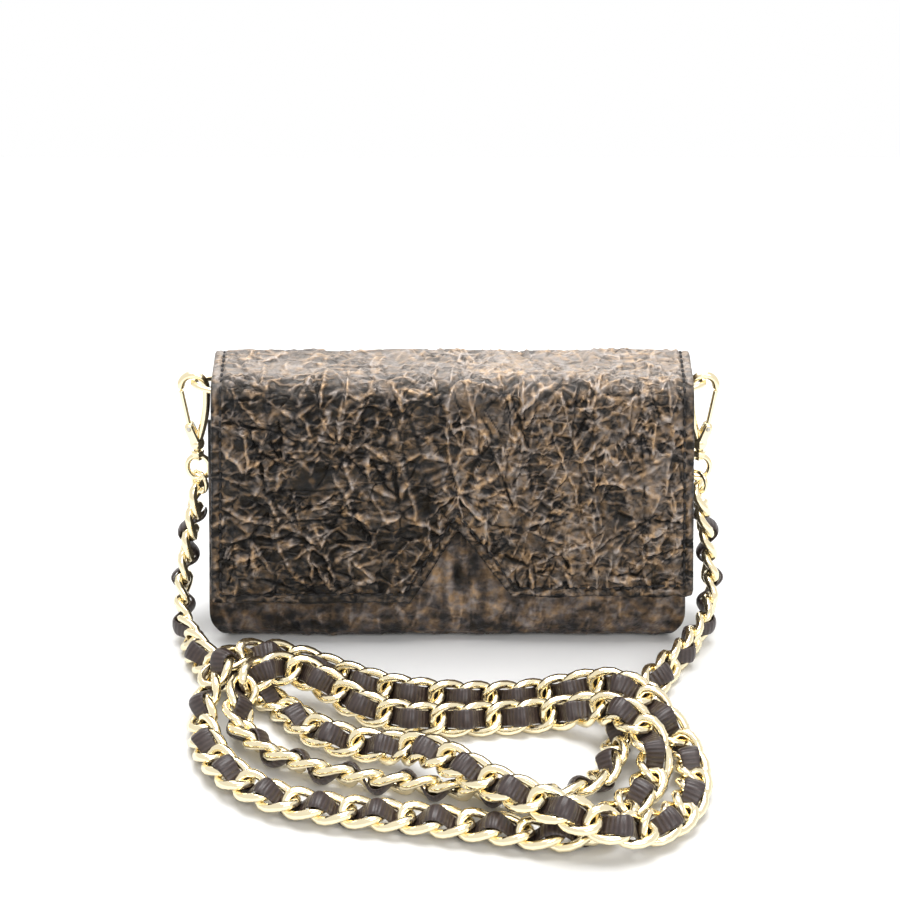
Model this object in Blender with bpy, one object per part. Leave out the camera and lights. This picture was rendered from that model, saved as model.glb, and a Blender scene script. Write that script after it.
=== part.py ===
"""A small leather flap bag with a laced chain strap.

The bag is sewn from a front panel that turns under the base, a back panel, two folded side
gussets and a flap with a notched edge, and it is lined. A snap hook at each side holds a chain
strap, whose curb links have a leather lace woven through them. The strap lies in loose loops on
the surface in front of the bag.

Lengths are in metres. +Z is up, the front faces -Y, and the origin is at the middle of the base.
"""

import math

import bmesh
import bpy
import numpy as np
from mathutils import Matrix, Vector

MM = 0.001

# Clearances
GAP = 0.3 * MM

# Bag body
BODY_WIDTH = 165.5 * MM
TOP_NARROWING = 4.3 * MM
BASE_NARROWING = 5.5 * MM
BASE_TUCK_HEIGHT = 12.0 * MM
BAG_DEPTH = 35.0 * MM
BAG_HEIGHT = 98.8 * MM
LEATHER = 1.6 * MM
LINING = 0.7 * MM
BASE_RADIUS = 8.0 * MM
FRONT_BULGE = 1.8 * MM
FRONT_DROP = 14.8 * MM
BACK_SEAM_HEIGHT = 10.0 * MM

# Flap
FLAP_LEATHER = 1.4 * MM
FLAP_SHIFT = 1.7 * MM
FLAP_HALF_TOP = 78.4 * MM
FLAP_HALF_BACK = 80.4 * MM
FLAP_HALF_FOOT = 82.6 * MM
FLAP_RISE = 3.1 * MM
FLAP_RISE_RUN = 5.0 * MM
FLAP_KNEE_SHARE = 0.25
FLAP_BEND_RADIUS = 6.0 * MM
FLAP_FOOT_LEFT = 17.5 * MM
FLAP_FOOT_RIGHT = 20.0 * MM
NOTCH_APEX_X = 3.6 * MM
NOTCH_APEX_Z = 47.5 * MM
NOTCH_LEFT_X = -12.8 * MM
NOTCH_RIGHT_X = 21.8 * MM
FLAP_LINING_MARGIN = 2.0 * MM

# Gussets
GUSSET_LEATHER = 1.2 * MM
GUSSET_FOLD = 8.8 * MM
GUSSET_FLANGE = 6.0 * MM
GUSSET_DROP = 9.2 * MM

# Inner pocket
POCKET_WIDTH = 104.0 * MM
POCKET_BASE = 22.0 * MM
POCKET_TOP = 70.0 * MM
POCKET_LEATHER = 1.0 * MM

# Magnetic closure
SNAP_DIAMETER = 14.0 * MM
SNAP_THICKNESS = 0.8 * MM
SNAP_HEIGHT = 62.0 * MM

# Tabs and D rings
TAB_WIDTH = 6.8 * MM
TAB_LEATHER = 1.1 * MM
TAB_TAIL = 12.0 * MM
RING_WIRE = 1.9 * MM
RING_BAR = 10.0 * MM
RING_BAR_DROP = 7.4 * MM
RING_INSET = 2.2 * MM
RING_LIFT = 1.3 * MM

# Snap hooks
HOOK_WIRE = 2.6 * MM
HOOK_HALF_WIDTH = 4.2 * MM
HOOK_LEFT_REACH = 8.2 * MM
HOOK_RIGHT_REACH = 9.0 * MM
HOOK_SHOULDER_DROP = 4.4 * MM
HOOK_PIVOT_DROP = 19.2 * MM
HOOK_BASE_DROP = 25.0 * MM
HOOK_BASE_DIAMETER = 5.0 * MM
PIVOT_SHARE = 0.52
ARCH_END_TURN = 5
STEM_DIAMETER = 1.8 * MM
STEM_HEAD_DIAMETER = 3.0 * MM
STEM_HEAD_HEIGHT = 1.0 * MM
GATE_WIRE = 1.7 * MM
GATE_EYE_DIAMETER = 3.4 * MM
LUG_CHEEK = 1.0 * MM
GATE_THICKNESS = 1.9 * MM
PIN_DIAMETER = 1.0 * MM
EYE_WIRE = 1.9 * MM
EYE_WIDTH = 9.6 * MM
EYE_HEIGHT = 10.6 * MM
EYE_BOSS_DIAMETER = 4.4 * MM
EYE_BOSS_HEIGHT = 2.2 * MM
LINK_RING_WIRE = 1.5 * MM
LINK_RING_DIAMETER = 8.9 * MM
LINK_RING_CLEARANCE = 0.75 * MM
LINK_RING_LEAN = math.radians(-45)

# Chain and lace
LINK_LENGTH = 12.4 * MM
LINK_WIDTH = 8.9 * MM
LINK_PITCH = 8.88 * MM
LINK_WIRE = 2.4 * MM
LINK_GRIP = 0.3 * MM
LINK_FREE = 0.15 * MM
LINK_CORNER_TURN = math.radians(22)
LACE_WIDTH = 5.0 * MM
LACE_THICKNESS = 0.9 * MM
LACE_FLAT_SHARE = 0.44
LACE_CLEARANCE = 0.5 * MM

# Shares of a half width at which the edges of a sheet lie
EDGE_SHARES = (-1.0, 1.0)

# How finely round shapes are faceted
SMOOTH_SIDES = 16
ROUND_SIDES = 12
WIRE_SIDES = 8
FINE_SIDES = 6
BALL_RINGS = 5
BEND_STEPS = 4
HEAD_STEPS = 8
ARCH_STEPS = 6
BOW_STEPS = 8
OVAL_STEPS = 12
PANEL_ROWS = 8
BACK_ROWS = 5
GUSSET_ROWS = 7
SPLINE_STEPS = 60
MERGE_DISTANCE = 0.003 * MM

# Directions that the broad face of the strap turns to
OUT_LEFT = (-1.0, 0.0, 0.0)
OUT_RIGHT = (1.0, 0.0, 0.0)
UP = (0.0, 0.0, 1.0)
UP_FRONT = (0.0, -0.6, 0.8)
FRONT = (0.0, -0.85, 0.53)
BACK = (0.0, 0.75, 0.66)
RIGHT_FRONT = (0.42, -0.75, 0.51)
RIGHT_UP_FRONT = (0.72, -0.4, 0.57)
RIGHT_UP = (0.72, -0.05, 0.69)
RIGHT_UP_BACK = (0.47, 0.45, 0.76)
INWARD = (-0.66, -0.11, 0.74)
FRONT_UP = (0.0, -0.77, 0.64)
UP_NEAR = (0.0, -0.4, 0.92)
UP_LEFT_NEAR = (-0.44, -0.22, 0.87)
UP_LEFT = (-0.7, 0.0, 0.7)
UP_RIGHT = (0.6, 0.0, 0.8)

# The strap's route from the left hook to the right one, as x, y, z and the way its face turns
STRAP_ROUTE = (
    (-84.8, 0.0, 55.6, OUT_LEFT),
    (-90.5, 1.1, 28.9, OUT_LEFT),
    (-92.6, -2.6, 14.8, OUT_LEFT),
    (-90.9, -13.8, 6.9, OUT_LEFT),
    (-80.7, -36.7, 5.7, UP_LEFT),
    (-68.8, -48.4, 4.9, UP),
    (-55.1, -59.8, 4.3, UP),
    (-39.6, -80.0, 7.3, UP_FRONT),
    (-20.0, -87.0, 6.8, UP_FRONT),
    (-4.8, -99.0, 13.5, UP_FRONT),
    (10.8, -115.1, 15.5, UP_FRONT),
    (33.6, -130.1, 14.9, UP_FRONT),
    (54.7, -130.6, 8.4, UP_FRONT),
    (69.1, -118.9, 5.2, UP_FRONT),
    (75.0, -104.0, 4.9, UP_FRONT),
    (74.2, -86.2, 5.1, UP_FRONT),
    (68.6, -75.7, 9.6, UP_FRONT),
    (61.7, -69.3, 14.3, UP_FRONT),
    (50.5, -61.6, 13.2, FRONT),
    (29.9, -57.0, 6.2, FRONT),
    (1.1, -58.0, 6.0, FRONT),
    (-24.5, -50.4, 5.5, FRONT),
    (-49.8, -36.8, 6.4, FRONT_UP),
    (-67.0, -42.3, 12.9, UP_NEAR),
    (-75.1, -52.0, 13.1, UP_LEFT_NEAR),
    (-78.4, -70.0, 6.1, UP_LEFT),
    (-70.0, -94.5, 5.7, UP_FRONT),
    (-50.2, -111.7, 5.4, UP_FRONT),
    (-13.9, -120.1, 5.1, UP_FRONT),
    (20.9, -127.3, 5.4, UP_FRONT),
    (37.8, -128.0, 5.3, UP_FRONT),
    (55.4, -112.9, 5.1, UP_FRONT),
    (63.2, -99.1, 6.2, UP_FRONT),
    (62.9, -89.4, 11.4, UP_FRONT),
    (54.2, -79.4, 15.0, UP_FRONT),
    (37.4, -68.8, 7.4, FRONT),
    (9.3, -70.0, 5.8, FRONT),
    (-23.8, -66.5, 6.7, FRONT),
    (-45.7, -52.0, 11.2, FRONT),
    (-58.3, -53.1, 13.6, RIGHT_FRONT),
    (-65.1, -60.0, 12.4, RIGHT_UP_FRONT),
    (-67.1, -68.6, 8.4, RIGHT_UP),
    (-61.7, -81.5, 6.0, RIGHT_UP_BACK),
    (-35.8, -98.7, 5.7, BACK),
    (-5.7, -105.1, 5.2, BACK),
    (27.8, -109.8, 5.2, BACK),
    (42.6, -105.6, 5.2, BACK),
    (49.9, -95.1, 5.5, INWARD),
    (54.1, -79.0, 5.1, INWARD),
    (64.4, -55.3, 6.0, UP_RIGHT),
    (79.0, -31.1, 5.9, OUT_RIGHT),
    (90.1, -10.5, 9.1, OUT_RIGHT),
    (91.9, 1.0, 22.1, OUT_RIGHT),
    (85.6, 0.0, 55.6, OUT_RIGHT),
)

# Finishes: colour, roughness, metallic
BRONZE_LEATHER = ((0.09, 0.065, 0.05), 0.42, 0.35)
GUSSET_COLOUR = ((0.035, 0.028, 0.024), 0.5, 0.1)
LINING_COLOUR = ((0.11, 0.085, 0.06), 0.8, 0.0)
LACE_COLOUR = ((0.06, 0.045, 0.048), 0.55, 0.0)
GOLD = ((0.9, 0.66, 0.24), 0.2, 1.0)
STEEL = ((0.62, 0.6, 0.56), 0.3, 1.0)


def clear_scene():
    """Remove every object of the scene that the script starts in."""
    for obj in list(bpy.data.objects):
        bpy.data.objects.remove(obj, do_unlink=True)


def material(name, finish):
    """Make a principled material from a colour, a roughness and a metallic value."""
    colour, roughness, metallic = finish
    made = bpy.data.materials.new(name)
    made.use_nodes = True
    shader = made.node_tree.nodes["Principled BSDF"]
    shader.inputs["Base Color"].default_value = (*colour, 1.0)
    shader.inputs["Roughness"].default_value = roughness
    shader.inputs["Metallic"].default_value = metallic
    made.diffuse_color = (*colour, 1.0)
    return made


def add_object(name, mesh, finish, pivot=(0.0, 0.0, 0.0)):
    """Link a mesh given in world space as an object whose origin is at the pivot."""
    mesh.transform(Matrix.Translation(-Vector(pivot)))
    obj = bpy.data.objects.new(name, mesh)
    obj.location = pivot
    mesh.materials.append(material(name, finish))
    bpy.context.collection.objects.link(obj)
    return obj


def mesh_from(name, points, faces):
    """Make a mesh with its faces turned outward."""
    mesh = bpy.data.meshes.new(name)
    mesh.from_pydata([tuple(point) for point in points], [], faces)
    work = bmesh.new()
    work.from_mesh(mesh)
    bmesh.ops.recalc_face_normals(work, faces=work.faces)
    work.to_mesh(mesh)
    work.free()
    return mesh


def thick_sheet(name, centre, normals, thickness):
    """Close a grid of points into a sheet that is as thick as asked, half on each side."""
    centre = np.asarray(centre, float)
    normals = np.asarray(normals, float)
    rows, columns = centre.shape[:2]
    upper = centre + normals * thickness / 2
    lower = centre - normals * thickness / 2
    points = np.concatenate([upper.reshape(-1, 3), lower.reshape(-1, 3)])
    count = rows * columns
    faces = []
    for row in range(rows - 1):
        for column in range(columns - 1):
            a = row * columns + column
            quad = (a, a + 1, a + columns + 1, a + columns)
            faces.append(quad)
            faces.append(tuple(count + index for index in reversed(quad)))
    rim = [column for column in range(columns)]
    rim += [row * columns + columns - 1 for row in range(1, rows)]
    rim += [(rows - 1) * columns + column for column in range(columns - 2, -1, -1)]
    rim += [row * columns for row in range(rows - 2, 0, -1)]
    for here, there in zip(rim, rim[1:] + rim[:1]):
        faces.append((there, here, count + here, count + there))
    return mesh_from(name, points, faces)


def mitred_normals(path):
    """Give each point of a plane path its normal, lengthened so that offsets stay parallel."""
    path = np.asarray(path, float)
    runs = np.diff(path, axis=0)
    runs /= np.linalg.norm(runs, axis=1)[:, None]
    sides = np.stack([runs[:, 1], -runs[:, 0]], axis=1)
    first = np.vstack([sides[:1], sides])
    second = np.vstack([sides, sides[-1:]])
    total = first + second
    return total / (1 + np.sum(first * second, axis=1))[:, None]


def tube(name, path, radius, sides, closed=False):
    """Sweep a round section along a path, with filled ends unless it is closed."""
    curve = bpy.data.curves.new(name, "CURVE")
    curve.dimensions = "3D"
    curve.bevel_depth = radius
    curve.bevel_resolution = max(0, sides // 2 - 2)
    curve.use_fill_caps = not closed
    spline = curve.splines.new("POLY")
    spline.points.add(len(path) - 1)
    for knot, point in zip(spline.points, path):
        knot.co = (*point, 1.0)
    spline.use_cyclic_u = closed
    holder = bpy.data.objects.new(name, curve)
    bpy.context.collection.objects.link(holder)
    graph = bpy.context.evaluated_depsgraph_get()
    mesh = bpy.data.meshes.new_from_object(holder.evaluated_get(graph))
    bpy.data.objects.remove(holder, do_unlink=True)
    bpy.data.curves.remove(curve)
    work = bmesh.new()
    work.from_mesh(mesh)
    bmesh.ops.remove_doubles(work, verts=work.verts, dist=MERGE_DISTANCE)
    bmesh.ops.recalc_face_normals(work, faces=work.faces)
    work.to_mesh(mesh)
    work.free()
    return mesh


def cylinder(name, start, end, radius, sides):
    """Make a closed cylinder between two points."""
    start = Vector(start)
    end = Vector(end)
    work = bmesh.new()
    turn = (end - start).to_track_quat("Z", "Y").to_matrix().to_4x4()
    place = Matrix.Translation((start + end) / 2) @ turn
    bmesh.ops.create_cone(
        work, cap_ends=True, segments=sides, radius1=radius, radius2=radius,
        depth=(end - start).length, matrix=place,
    )
    mesh = bpy.data.meshes.new(name)
    work.to_mesh(mesh)
    work.free()
    return mesh


def ball(name, centre, radius, rings):
    """Make a closed ball of flat faces."""
    work = bmesh.new()
    bmesh.ops.create_uvsphere(
        work, u_segments=2 * rings, v_segments=rings, radius=radius,
        matrix=Matrix.Translation(centre),
    )
    mesh = bpy.data.meshes.new(name)
    work.to_mesh(mesh)
    work.free()
    return mesh


def combine(mesh, others, operation):
    """Join meshes to a mesh, or cut them from it, and give the closed result."""
    base = bpy.data.objects.new("base", mesh)
    bpy.context.collection.objects.link(base)
    tools = []
    for other in others:
        tool = bpy.data.objects.new("tool", other)
        bpy.context.collection.objects.link(tool)
        step = base.modifiers.new("step", "BOOLEAN")
        step.solver = "EXACT"
        step.operation = operation
        step.object = tool
        tools.append(tool)
    graph = bpy.context.evaluated_depsgraph_get()
    result = bpy.data.meshes.new_from_object(base.evaluated_get(graph))
    for obj in [base, *tools]:
        bpy.data.objects.remove(obj, do_unlink=True)
    result.name = mesh.name
    return result


# Outline of the body, seen from the side
FRONT_FACE = BAG_DEPTH / 2 - FLAP_LEATHER - GAP - LINING
PANEL_FRONT = -(FRONT_FACE - SNAP_THICKNESS * 2 - GAP * 3)
BULGE_FRONT = max(PANEL_FRONT - FRONT_BULGE, -FRONT_FACE + GAP)
BULGE_LOW_SHARE = 0.15
BULGE_HIGH_SHARE = 0.48
HINGE_Z = BAG_HEIGHT - FLAP_LEATHER / 2 - FLAP_RISE
BACK_FACE = BAG_DEPTH / 2
HINGE_Y = BACK_FACE - LEATHER / 2
FRONT_TOP = BAG_HEIGHT - FRONT_DROP
GUSSET_TOP = BAG_HEIGHT - GUSSET_DROP


def body_half_width(z):
    """Half the width of the body at a height: drawn in at the base and towards the top."""
    low = max(0.0, 1 - z / BASE_TUCK_HEIGHT)
    return BODY_WIDTH / 2 - TOP_NARROWING * z / BAG_HEIGHT - BASE_NARROWING * low * low


def front_face_y(z):
    """Where the outer face of the front panel lies: it swells near the base."""
    low = BULGE_LOW_SHARE * BAG_HEIGHT
    high = BULGE_HIGH_SHARE * BAG_HEIGHT
    share = min(1.0, max(0.0, (z - low) / (high - low)))
    ease = share * share * (3 - 2 * share)
    return BULGE_FRONT + (PANEL_FRONT - BULGE_FRONT) * ease


def arc(centre, radius, start, end, steps):
    """Points on a circle in the plane, from one angle to another in degrees."""
    angles = np.radians(np.linspace(start, end, steps + 1))
    return [(centre[0] + radius * math.cos(a), centre[1] + radius * math.sin(a)) for a in angles]


def body_path(depth_in, top):
    """The side view of the front panel and base, at a depth inside their outer face."""
    heights = np.linspace(top, BASE_RADIUS, PANEL_ROWS)
    down = [(front_face_y(z) + depth_in, z) for z in heights[:-1]]
    radius = BASE_RADIUS - depth_in
    front_turn = arc((BULGE_FRONT + BASE_RADIUS, BASE_RADIUS), radius, 180, 270, BEND_STEPS)
    back_turn = arc((BACK_FACE - BASE_RADIUS, BASE_RADIUS), radius, 270, 360, BEND_STEPS)
    return down + front_turn + back_turn


def extruded_path(path, half_width_at, shares, inset=0.0):
    """Spread a side view over the width of the bag as a grid of points and normals."""
    sides = mitred_normals(path)
    centre = []
    normals = []
    for (y, z), (ny, nz) in zip(path, sides):
        half = half_width_at(z) - inset
        centre.append([(half * share, y, z) for share in shares])
        normals.append([(0.0, ny, nz) for share in shares])
    return centre, normals


def front_panel():
    """The front of the body and its base, in one piece of leather turned under the bag."""
    path = body_path(LEATHER / 2, FRONT_TOP)
    path.append((HINGE_Y, BACK_SEAM_HEIGHT))
    centre, normals = extruded_path(path, body_half_width, EDGE_SHARES)
    mesh = thick_sheet("front_panel", centre, normals, LEATHER)
    return add_object("front_panel", mesh, BRONZE_LEATHER)


def back_panel():
    """The back of the body, from its seam above the base to just under the flap's hinge."""
    top = HINGE_Z - FLAP_LEATHER / 2 - GAP
    heights = np.linspace(top, BACK_SEAM_HEIGHT + GAP, BACK_ROWS)
    path = [(HINGE_Y, z) for z in heights]
    centre, normals = extruded_path(path, body_half_width, EDGE_SHARES)
    mesh = thick_sheet("back_panel", centre, normals, LEATHER)
    return add_object("back_panel", mesh, BRONZE_LEATHER)


def body_lining():
    """The fabric lining inside the front, the base and the back."""
    depth_in = LEATHER + GAP + LINING / 2
    path = body_path(depth_in, FRONT_TOP)
    path.append((BACK_FACE - depth_in, HINGE_Z - FLAP_LEATHER - BASE_RADIUS))
    inset = GUSSET_FOLD + GUSSET_LEATHER + GAP * 2
    centre, normals = extruded_path(path, body_half_width, EDGE_SHARES, inset)
    mesh = thick_sheet("body_lining", centre, normals, LINING)
    return add_object("body_lining", mesh, LINING_COLOUR)


def inner_pocket():
    """A slip pocket sewn to the lining of the back."""
    y = BACK_FACE - LEATHER - GAP - LINING - GAP - POCKET_LEATHER / 2
    path = [(y, POCKET_TOP), (y, POCKET_BASE)]
    centre, normals = extruded_path(path, lambda z: POCKET_WIDTH / 2, EDGE_SHARES)
    mesh = thick_sheet("inner_pocket", centre, normals, POCKET_LEATHER)
    return add_object("inner_pocket", mesh, GUSSET_COLOUR)


def gusset(name, side):
    """A side gusset: its flanges lie on the panels' edges and its middle folds inward."""
    half_leather = GUSSET_LEATHER / 2
    front_in = LEATHER + GAP + half_leather
    back_y = BACK_FACE - front_in
    base = LEATHER + GAP
    columns = (
        (GUSSET_FLANGE, 1.0, BASE_RADIUS),
        (0.0, 1.0, BASE_RADIUS),
        (GUSSET_FOLD / 2, 0.5, base),
        (GUSSET_FOLD, 0.0, base),
        (GUSSET_FOLD / 2, -0.5, base),
        (0.0, -1.0, BASE_RADIUS),
        (GUSSET_FLANGE, -1.0, BASE_RADIUS),
    )
    centre = []
    normals = []
    for share in np.linspace(0.0, 1.0, GUSSET_ROWS):
        plan = []
        heights = []
        for depth, share_forward, floor in columns:
            z = floor + (GUSSET_TOP - floor) * share
            front_y = front_face_y(z) + front_in
            far_y = front_y if share_forward > 0 else -back_y
            plan.append((body_half_width(z) - half_leather - depth, far_y * share_forward))
            heights.append(z)
        sides = mitred_normals(plan)
        centre.append([(side * x, y, z) for (x, y), z in zip(plan, heights)])
        normals.append([(side * nx, ny, 0.0) for nx, ny in sides])
    return add_object(name, thick_sheet(name, centre, normals, GUSSET_LEATHER), GUSSET_COLOUR)


def flap_path(depth_in, foot):
    """The side view of the flap from its hinge over the top and down the front."""
    front = -BAG_DEPTH / 2 + FLAP_LEATHER / 2 + depth_in
    top = BAG_HEIGHT - FLAP_LEATHER / 2 - depth_in
    radius = FLAP_BEND_RADIUS - depth_in
    bend = arc((front + radius, top - radius), radius, 90, 180, BEND_STEPS)
    rise = [(HINGE_Y, HINGE_Z), (HINGE_Y - FLAP_RISE_RUN, top - FLAP_RISE * FLAP_KNEE_SHARE)]
    over = [(HINGE_Y - FLAP_RISE_RUN - FLAP_BEND_RADIUS, top), (0.0, top)]
    return rise + over + bend + [(front, (top + foot) / 2)], front, top


def flap_half_width(y, z):
    """Half the width of the flap: widest at its foot, narrowest at the front of the top."""
    along = min(1.0, max(0.0, (y + BAG_DEPTH / 2) / BAG_DEPTH))
    over_top = FLAP_HALF_TOP + (FLAP_HALF_BACK - FLAP_HALF_TOP) * along
    down = (BAG_HEIGHT - z) / (BAG_HEIGHT - FLAP_FOOT_LEFT)
    return over_top + (FLAP_HALF_FOOT - FLAP_HALF_TOP) * max(0.0, down)


def flap_sheet(name, depth_in, thickness, margin, skip):
    """A layer of the flap, with its notched lower edge, at a depth inside the outer layer."""
    path, front, top = flap_path(depth_in, NOTCH_APEX_Z)
    path = path[skip:]
    sides = mitred_normals(path + [(front, FLAP_FOOT_LEFT)])
    rise = margin * (NOTCH_APEX_Z - FLAP_FOOT_LEFT) / (NOTCH_APEX_X - NOTCH_LEFT_X)
    columns = (
        (None, -1, FLAP_FOOT_LEFT + margin),
        (NOTCH_LEFT_X - margin, 0, FLAP_FOOT_LEFT + margin),
        (NOTCH_APEX_X, 0, NOTCH_APEX_Z + rise),
        (NOTCH_RIGHT_X + margin, 0, FLAP_FOOT_RIGHT + margin),
        (None, 1, FLAP_FOOT_RIGHT + margin),
    )
    centre = []
    normals = []
    for row, (y, z) in enumerate(path + [(front, None)]):
        points = []
        for x, end, foot in columns:
            height = foot if z is None else z
            if end:
                x = FLAP_SHIFT + end * (flap_half_width(y, height) - margin)
            points.append((x, y, height))
        centre.append(points)
        normals.append([(0.0, *sides[row])] * len(columns))
    return thick_sheet(name, centre, normals, thickness)


def flap():
    """The flap's outer leather, hinged along the top of the back."""
    mesh = flap_sheet("flap", 0.0, FLAP_LEATHER, 0.0, 0)
    return add_object("flap", mesh, BRONZE_LEATHER, (0.0, HINGE_Y, HINGE_Z))


def flap_lining():
    """The flap's lining, a margin inside its edges."""
    depth_in = FLAP_LEATHER / 2 + GAP + LINING / 2
    mesh = flap_sheet("flap_lining", depth_in, LINING, FLAP_LINING_MARGIN, 2)
    return add_object("flap_lining", mesh, LINING_COLOUR, (0.0, HINGE_Y, HINGE_Z))


def snap_discs():
    """The two thin magnetic discs of the closure, on the front panel and under the flap."""
    panel = front_face_y(SNAP_HEIGHT) - GAP
    lining = -FRONT_FACE + GAP
    discs = (
        ("snap_base", panel - SNAP_THICKNESS, (0.0, 0.0, 0.0)),
        ("snap_cap", lining, (0.0, HINGE_Y, HINGE_Z)),
    )
    for name, y, pivot in discs:
        start = (NOTCH_APEX_X, y, SNAP_HEIGHT)
        end = (NOTCH_APEX_X, y + SNAP_THICKNESS, SNAP_HEIGHT)
        disc = cylinder(name, start, end, SNAP_DIAMETER / 2, SMOOTH_SIDES)
        add_object(name, disc, GOLD, pivot)


# The straight bars of the D rings, and the hooks that hang from their bows
RING_BAR_Z = BAG_HEIGHT - RING_BAR_DROP
RING_BAR_X = body_half_width(RING_BAR_Z) - RING_INSET
HOOK_LEFT_X = -(RING_BAR_X + HOOK_LEFT_REACH)
HOOK_RIGHT_X = RING_BAR_X + HOOK_RIGHT_REACH


def ring_tab(name, side):
    """A leather tab whose tail is sewn to the gusset and whose head loops round a D ring's bar."""
    inner = RING_WIRE / 2 + GAP
    outer = inner + TAB_LEATHER
    back_x = RING_BAR_X - outer
    foot_z = RING_BAR_Z - outer - TAB_TAIL
    outline = [(back_x, foot_z), (back_x + TAB_LEATHER, foot_z)]
    outline += [(back_x + TAB_LEATHER, RING_BAR_Z - outer)]
    outline += arc((RING_BAR_X, RING_BAR_Z), outer, -90, 180, HEAD_STEPS)
    points = []
    for y in (-TAB_WIDTH / 2, TAB_WIDTH / 2):
        points += [(side * x, y, z) for x, z in outline]
    count = len(outline)
    faces = [tuple(range(count)), tuple(range(2 * count - 1, count - 1, -1))]
    faces += [(i, (i + 1) % count, (i + 1) % count + count, i + count) for i in range(count)]
    body = mesh_from(name, points, faces)
    bar = Vector((side * RING_BAR_X, 0.0, RING_BAR_Z))
    reach = Vector((0.0, TAB_WIDTH, 0.0))
    bore = cylinder("bore", bar - reach, bar + reach, inner, ROUND_SIDES)
    return add_object(name, combine(body, [bore], "DIFFERENCE"), BRONZE_LEATHER)


def d_ring(name, side, hook_x):
    """A D ring: its straight bar lies in the tab and its bow reaches into the hook's arch."""
    half = RING_BAR / 2
    reach = abs(hook_x) - RING_BAR_X
    path = [(0.0, -half), (0.0, half)]
    path += [
        (reach * math.sin(math.pi * share), half * math.cos(math.pi * share))
        for share in np.linspace(0.0, 1.0, BOW_STEPS + 1)[1:-1]
    ]
    world = [(side * (RING_BAR_X + out), y, RING_BAR_Z + RING_LIFT * out / reach) for out, y in path]
    mesh = tube(name, world, RING_WIRE / 2, WIRE_SIDES, closed=True)
    return add_object(name, mesh, GOLD, (side * RING_BAR_X, 0.0, RING_BAR_Z))


# Heights on the snap hooks, counted down from the inside of the arch
ARCH_INSIDE_Z = RING_BAR_Z + RING_LIFT + RING_WIRE / 2 + GAP
ARCH_Z = ARCH_INSIDE_Z + HOOK_WIRE / 2
SHOULDER_Z = ARCH_Z - HOOK_SHOULDER_DROP
PIVOT_Z = ARCH_Z - HOOK_PIVOT_DROP
HOOK_BASE_Z = ARCH_Z - HOOK_BASE_DROP
EYE_TOP_Z = HOOK_BASE_Z - HOOK_BASE_DIAMETER / 2 - GAP
STEM_END_Z = EYE_TOP_Z - EYE_BOSS_HEIGHT - GAP - STEM_HEAD_HEIGHT
EYE_CENTRE_Z = EYE_TOP_Z - EYE_BOSS_HEIGHT / 2 - EYE_HEIGHT / 2


def gate_pivot(centre_x, side):
    """Where a hook's gate turns: at the end of the lug, on the outer side."""
    return Vector((centre_x + side * HOOK_HALF_WIDTH * PIVOT_SHARE, 0.0, PIVOT_Z))


def hook_body(name, centre_x, side):
    """A snap hook: an arch, a leg, a forked lug for the gate, and a stem with a head."""
    half = HOOK_HALF_WIDTH
    radius = HOOK_WIRE / 2

    def at(out, z):
        return Vector((centre_x + side * out, 0.0, z))

    turn = arc((0.0, SHOULDER_Z), half, 180 - ARCH_END_TURN, ARCH_END_TURN, ARCH_STEPS)
    rise = (ARCH_Z - SHOULDER_Z) / half
    foot = at(0.0, HOOK_BASE_Z)
    path = [foot, at(-half * PIVOT_SHARE, PIVOT_Z)]
    path += [at(out, SHOULDER_Z + (z - SHOULDER_Z) * rise) for out, z in turn]
    body = tube(name, path, radius, WIRE_SIDES)
    base = ball("base", foot, HOOK_BASE_DIAMETER / 2, BALL_RINGS)
    pivot = gate_pivot(centre_x, side)
    over = (pivot - foot).normalized() * PIN_DIAMETER
    lug = cylinder("lug", foot, pivot + over, radius, WIRE_SIDES)
    lug_half = LUG_CHEEK + GATE_THICKNESS / 2 + GAP
    lug.transform(Matrix.Diagonal((1.0, lug_half / radius, 1.0, 1.0)))
    stem_end = at(0.0, STEM_END_Z)
    head_start = at(0.0, STEM_END_Z + STEM_HEAD_HEIGHT)
    stem = cylinder("stem", foot, stem_end, STEM_DIAMETER / 2, WIRE_SIDES)
    head = cylinder("head", head_start, stem_end, STEM_HEAD_DIAMETER / 2, WIRE_SIDES)
    body = combine(body, [base, lug, stem, head], "UNION")
    slot_half = Vector((0.0, GATE_THICKNESS / 2 + GAP, 0.0))
    slot_radius = GATE_EYE_DIAMETER / 2 + GAP
    slot = cylinder("slot", pivot - slot_half, pivot + slot_half, slot_radius, ROUND_SIDES)
    reach = Vector((0.0, half, 0.0))
    bore = cylinder("bore", pivot - reach, pivot + reach, (PIN_DIAMETER + GAP) / 2, WIRE_SIDES)
    body = combine(body, [slot, bore], "DIFFERENCE")
    return add_object(name, body, GOLD, foot)


def hook_gate(name, centre_x, side):
    """The straight gate that closes a snap hook, turning on its pin."""
    pivot = gate_pivot(centre_x, side)
    turn = math.radians(ARCH_END_TURN)
    tip_x = centre_x + side * HOOK_HALF_WIDTH * math.cos(turn)
    tip_z = SHOULDER_Z + (ARCH_Z - SHOULDER_Z) * math.sin(turn) - HOOK_WIRE / 2 - GAP
    tip = Vector((tip_x, 0.0, tip_z))
    rod = cylinder(name, pivot, tip, GATE_WIRE / 2, WIRE_SIDES)
    half = Vector((0.0, GATE_THICKNESS / 2, 0.0))
    eye = cylinder("eye", pivot - half, pivot + half, GATE_EYE_DIAMETER / 2, ROUND_SIDES)
    body = combine(rod, [eye], "UNION")
    reach = Vector((0.0, HOOK_HALF_WIDTH, 0.0))
    bore = cylinder("bore", pivot - reach, pivot + reach, PIN_DIAMETER / 2 + GAP, WIRE_SIDES)
    return add_object(name, combine(body, [bore], "DIFFERENCE"), GOLD, pivot)


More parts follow.
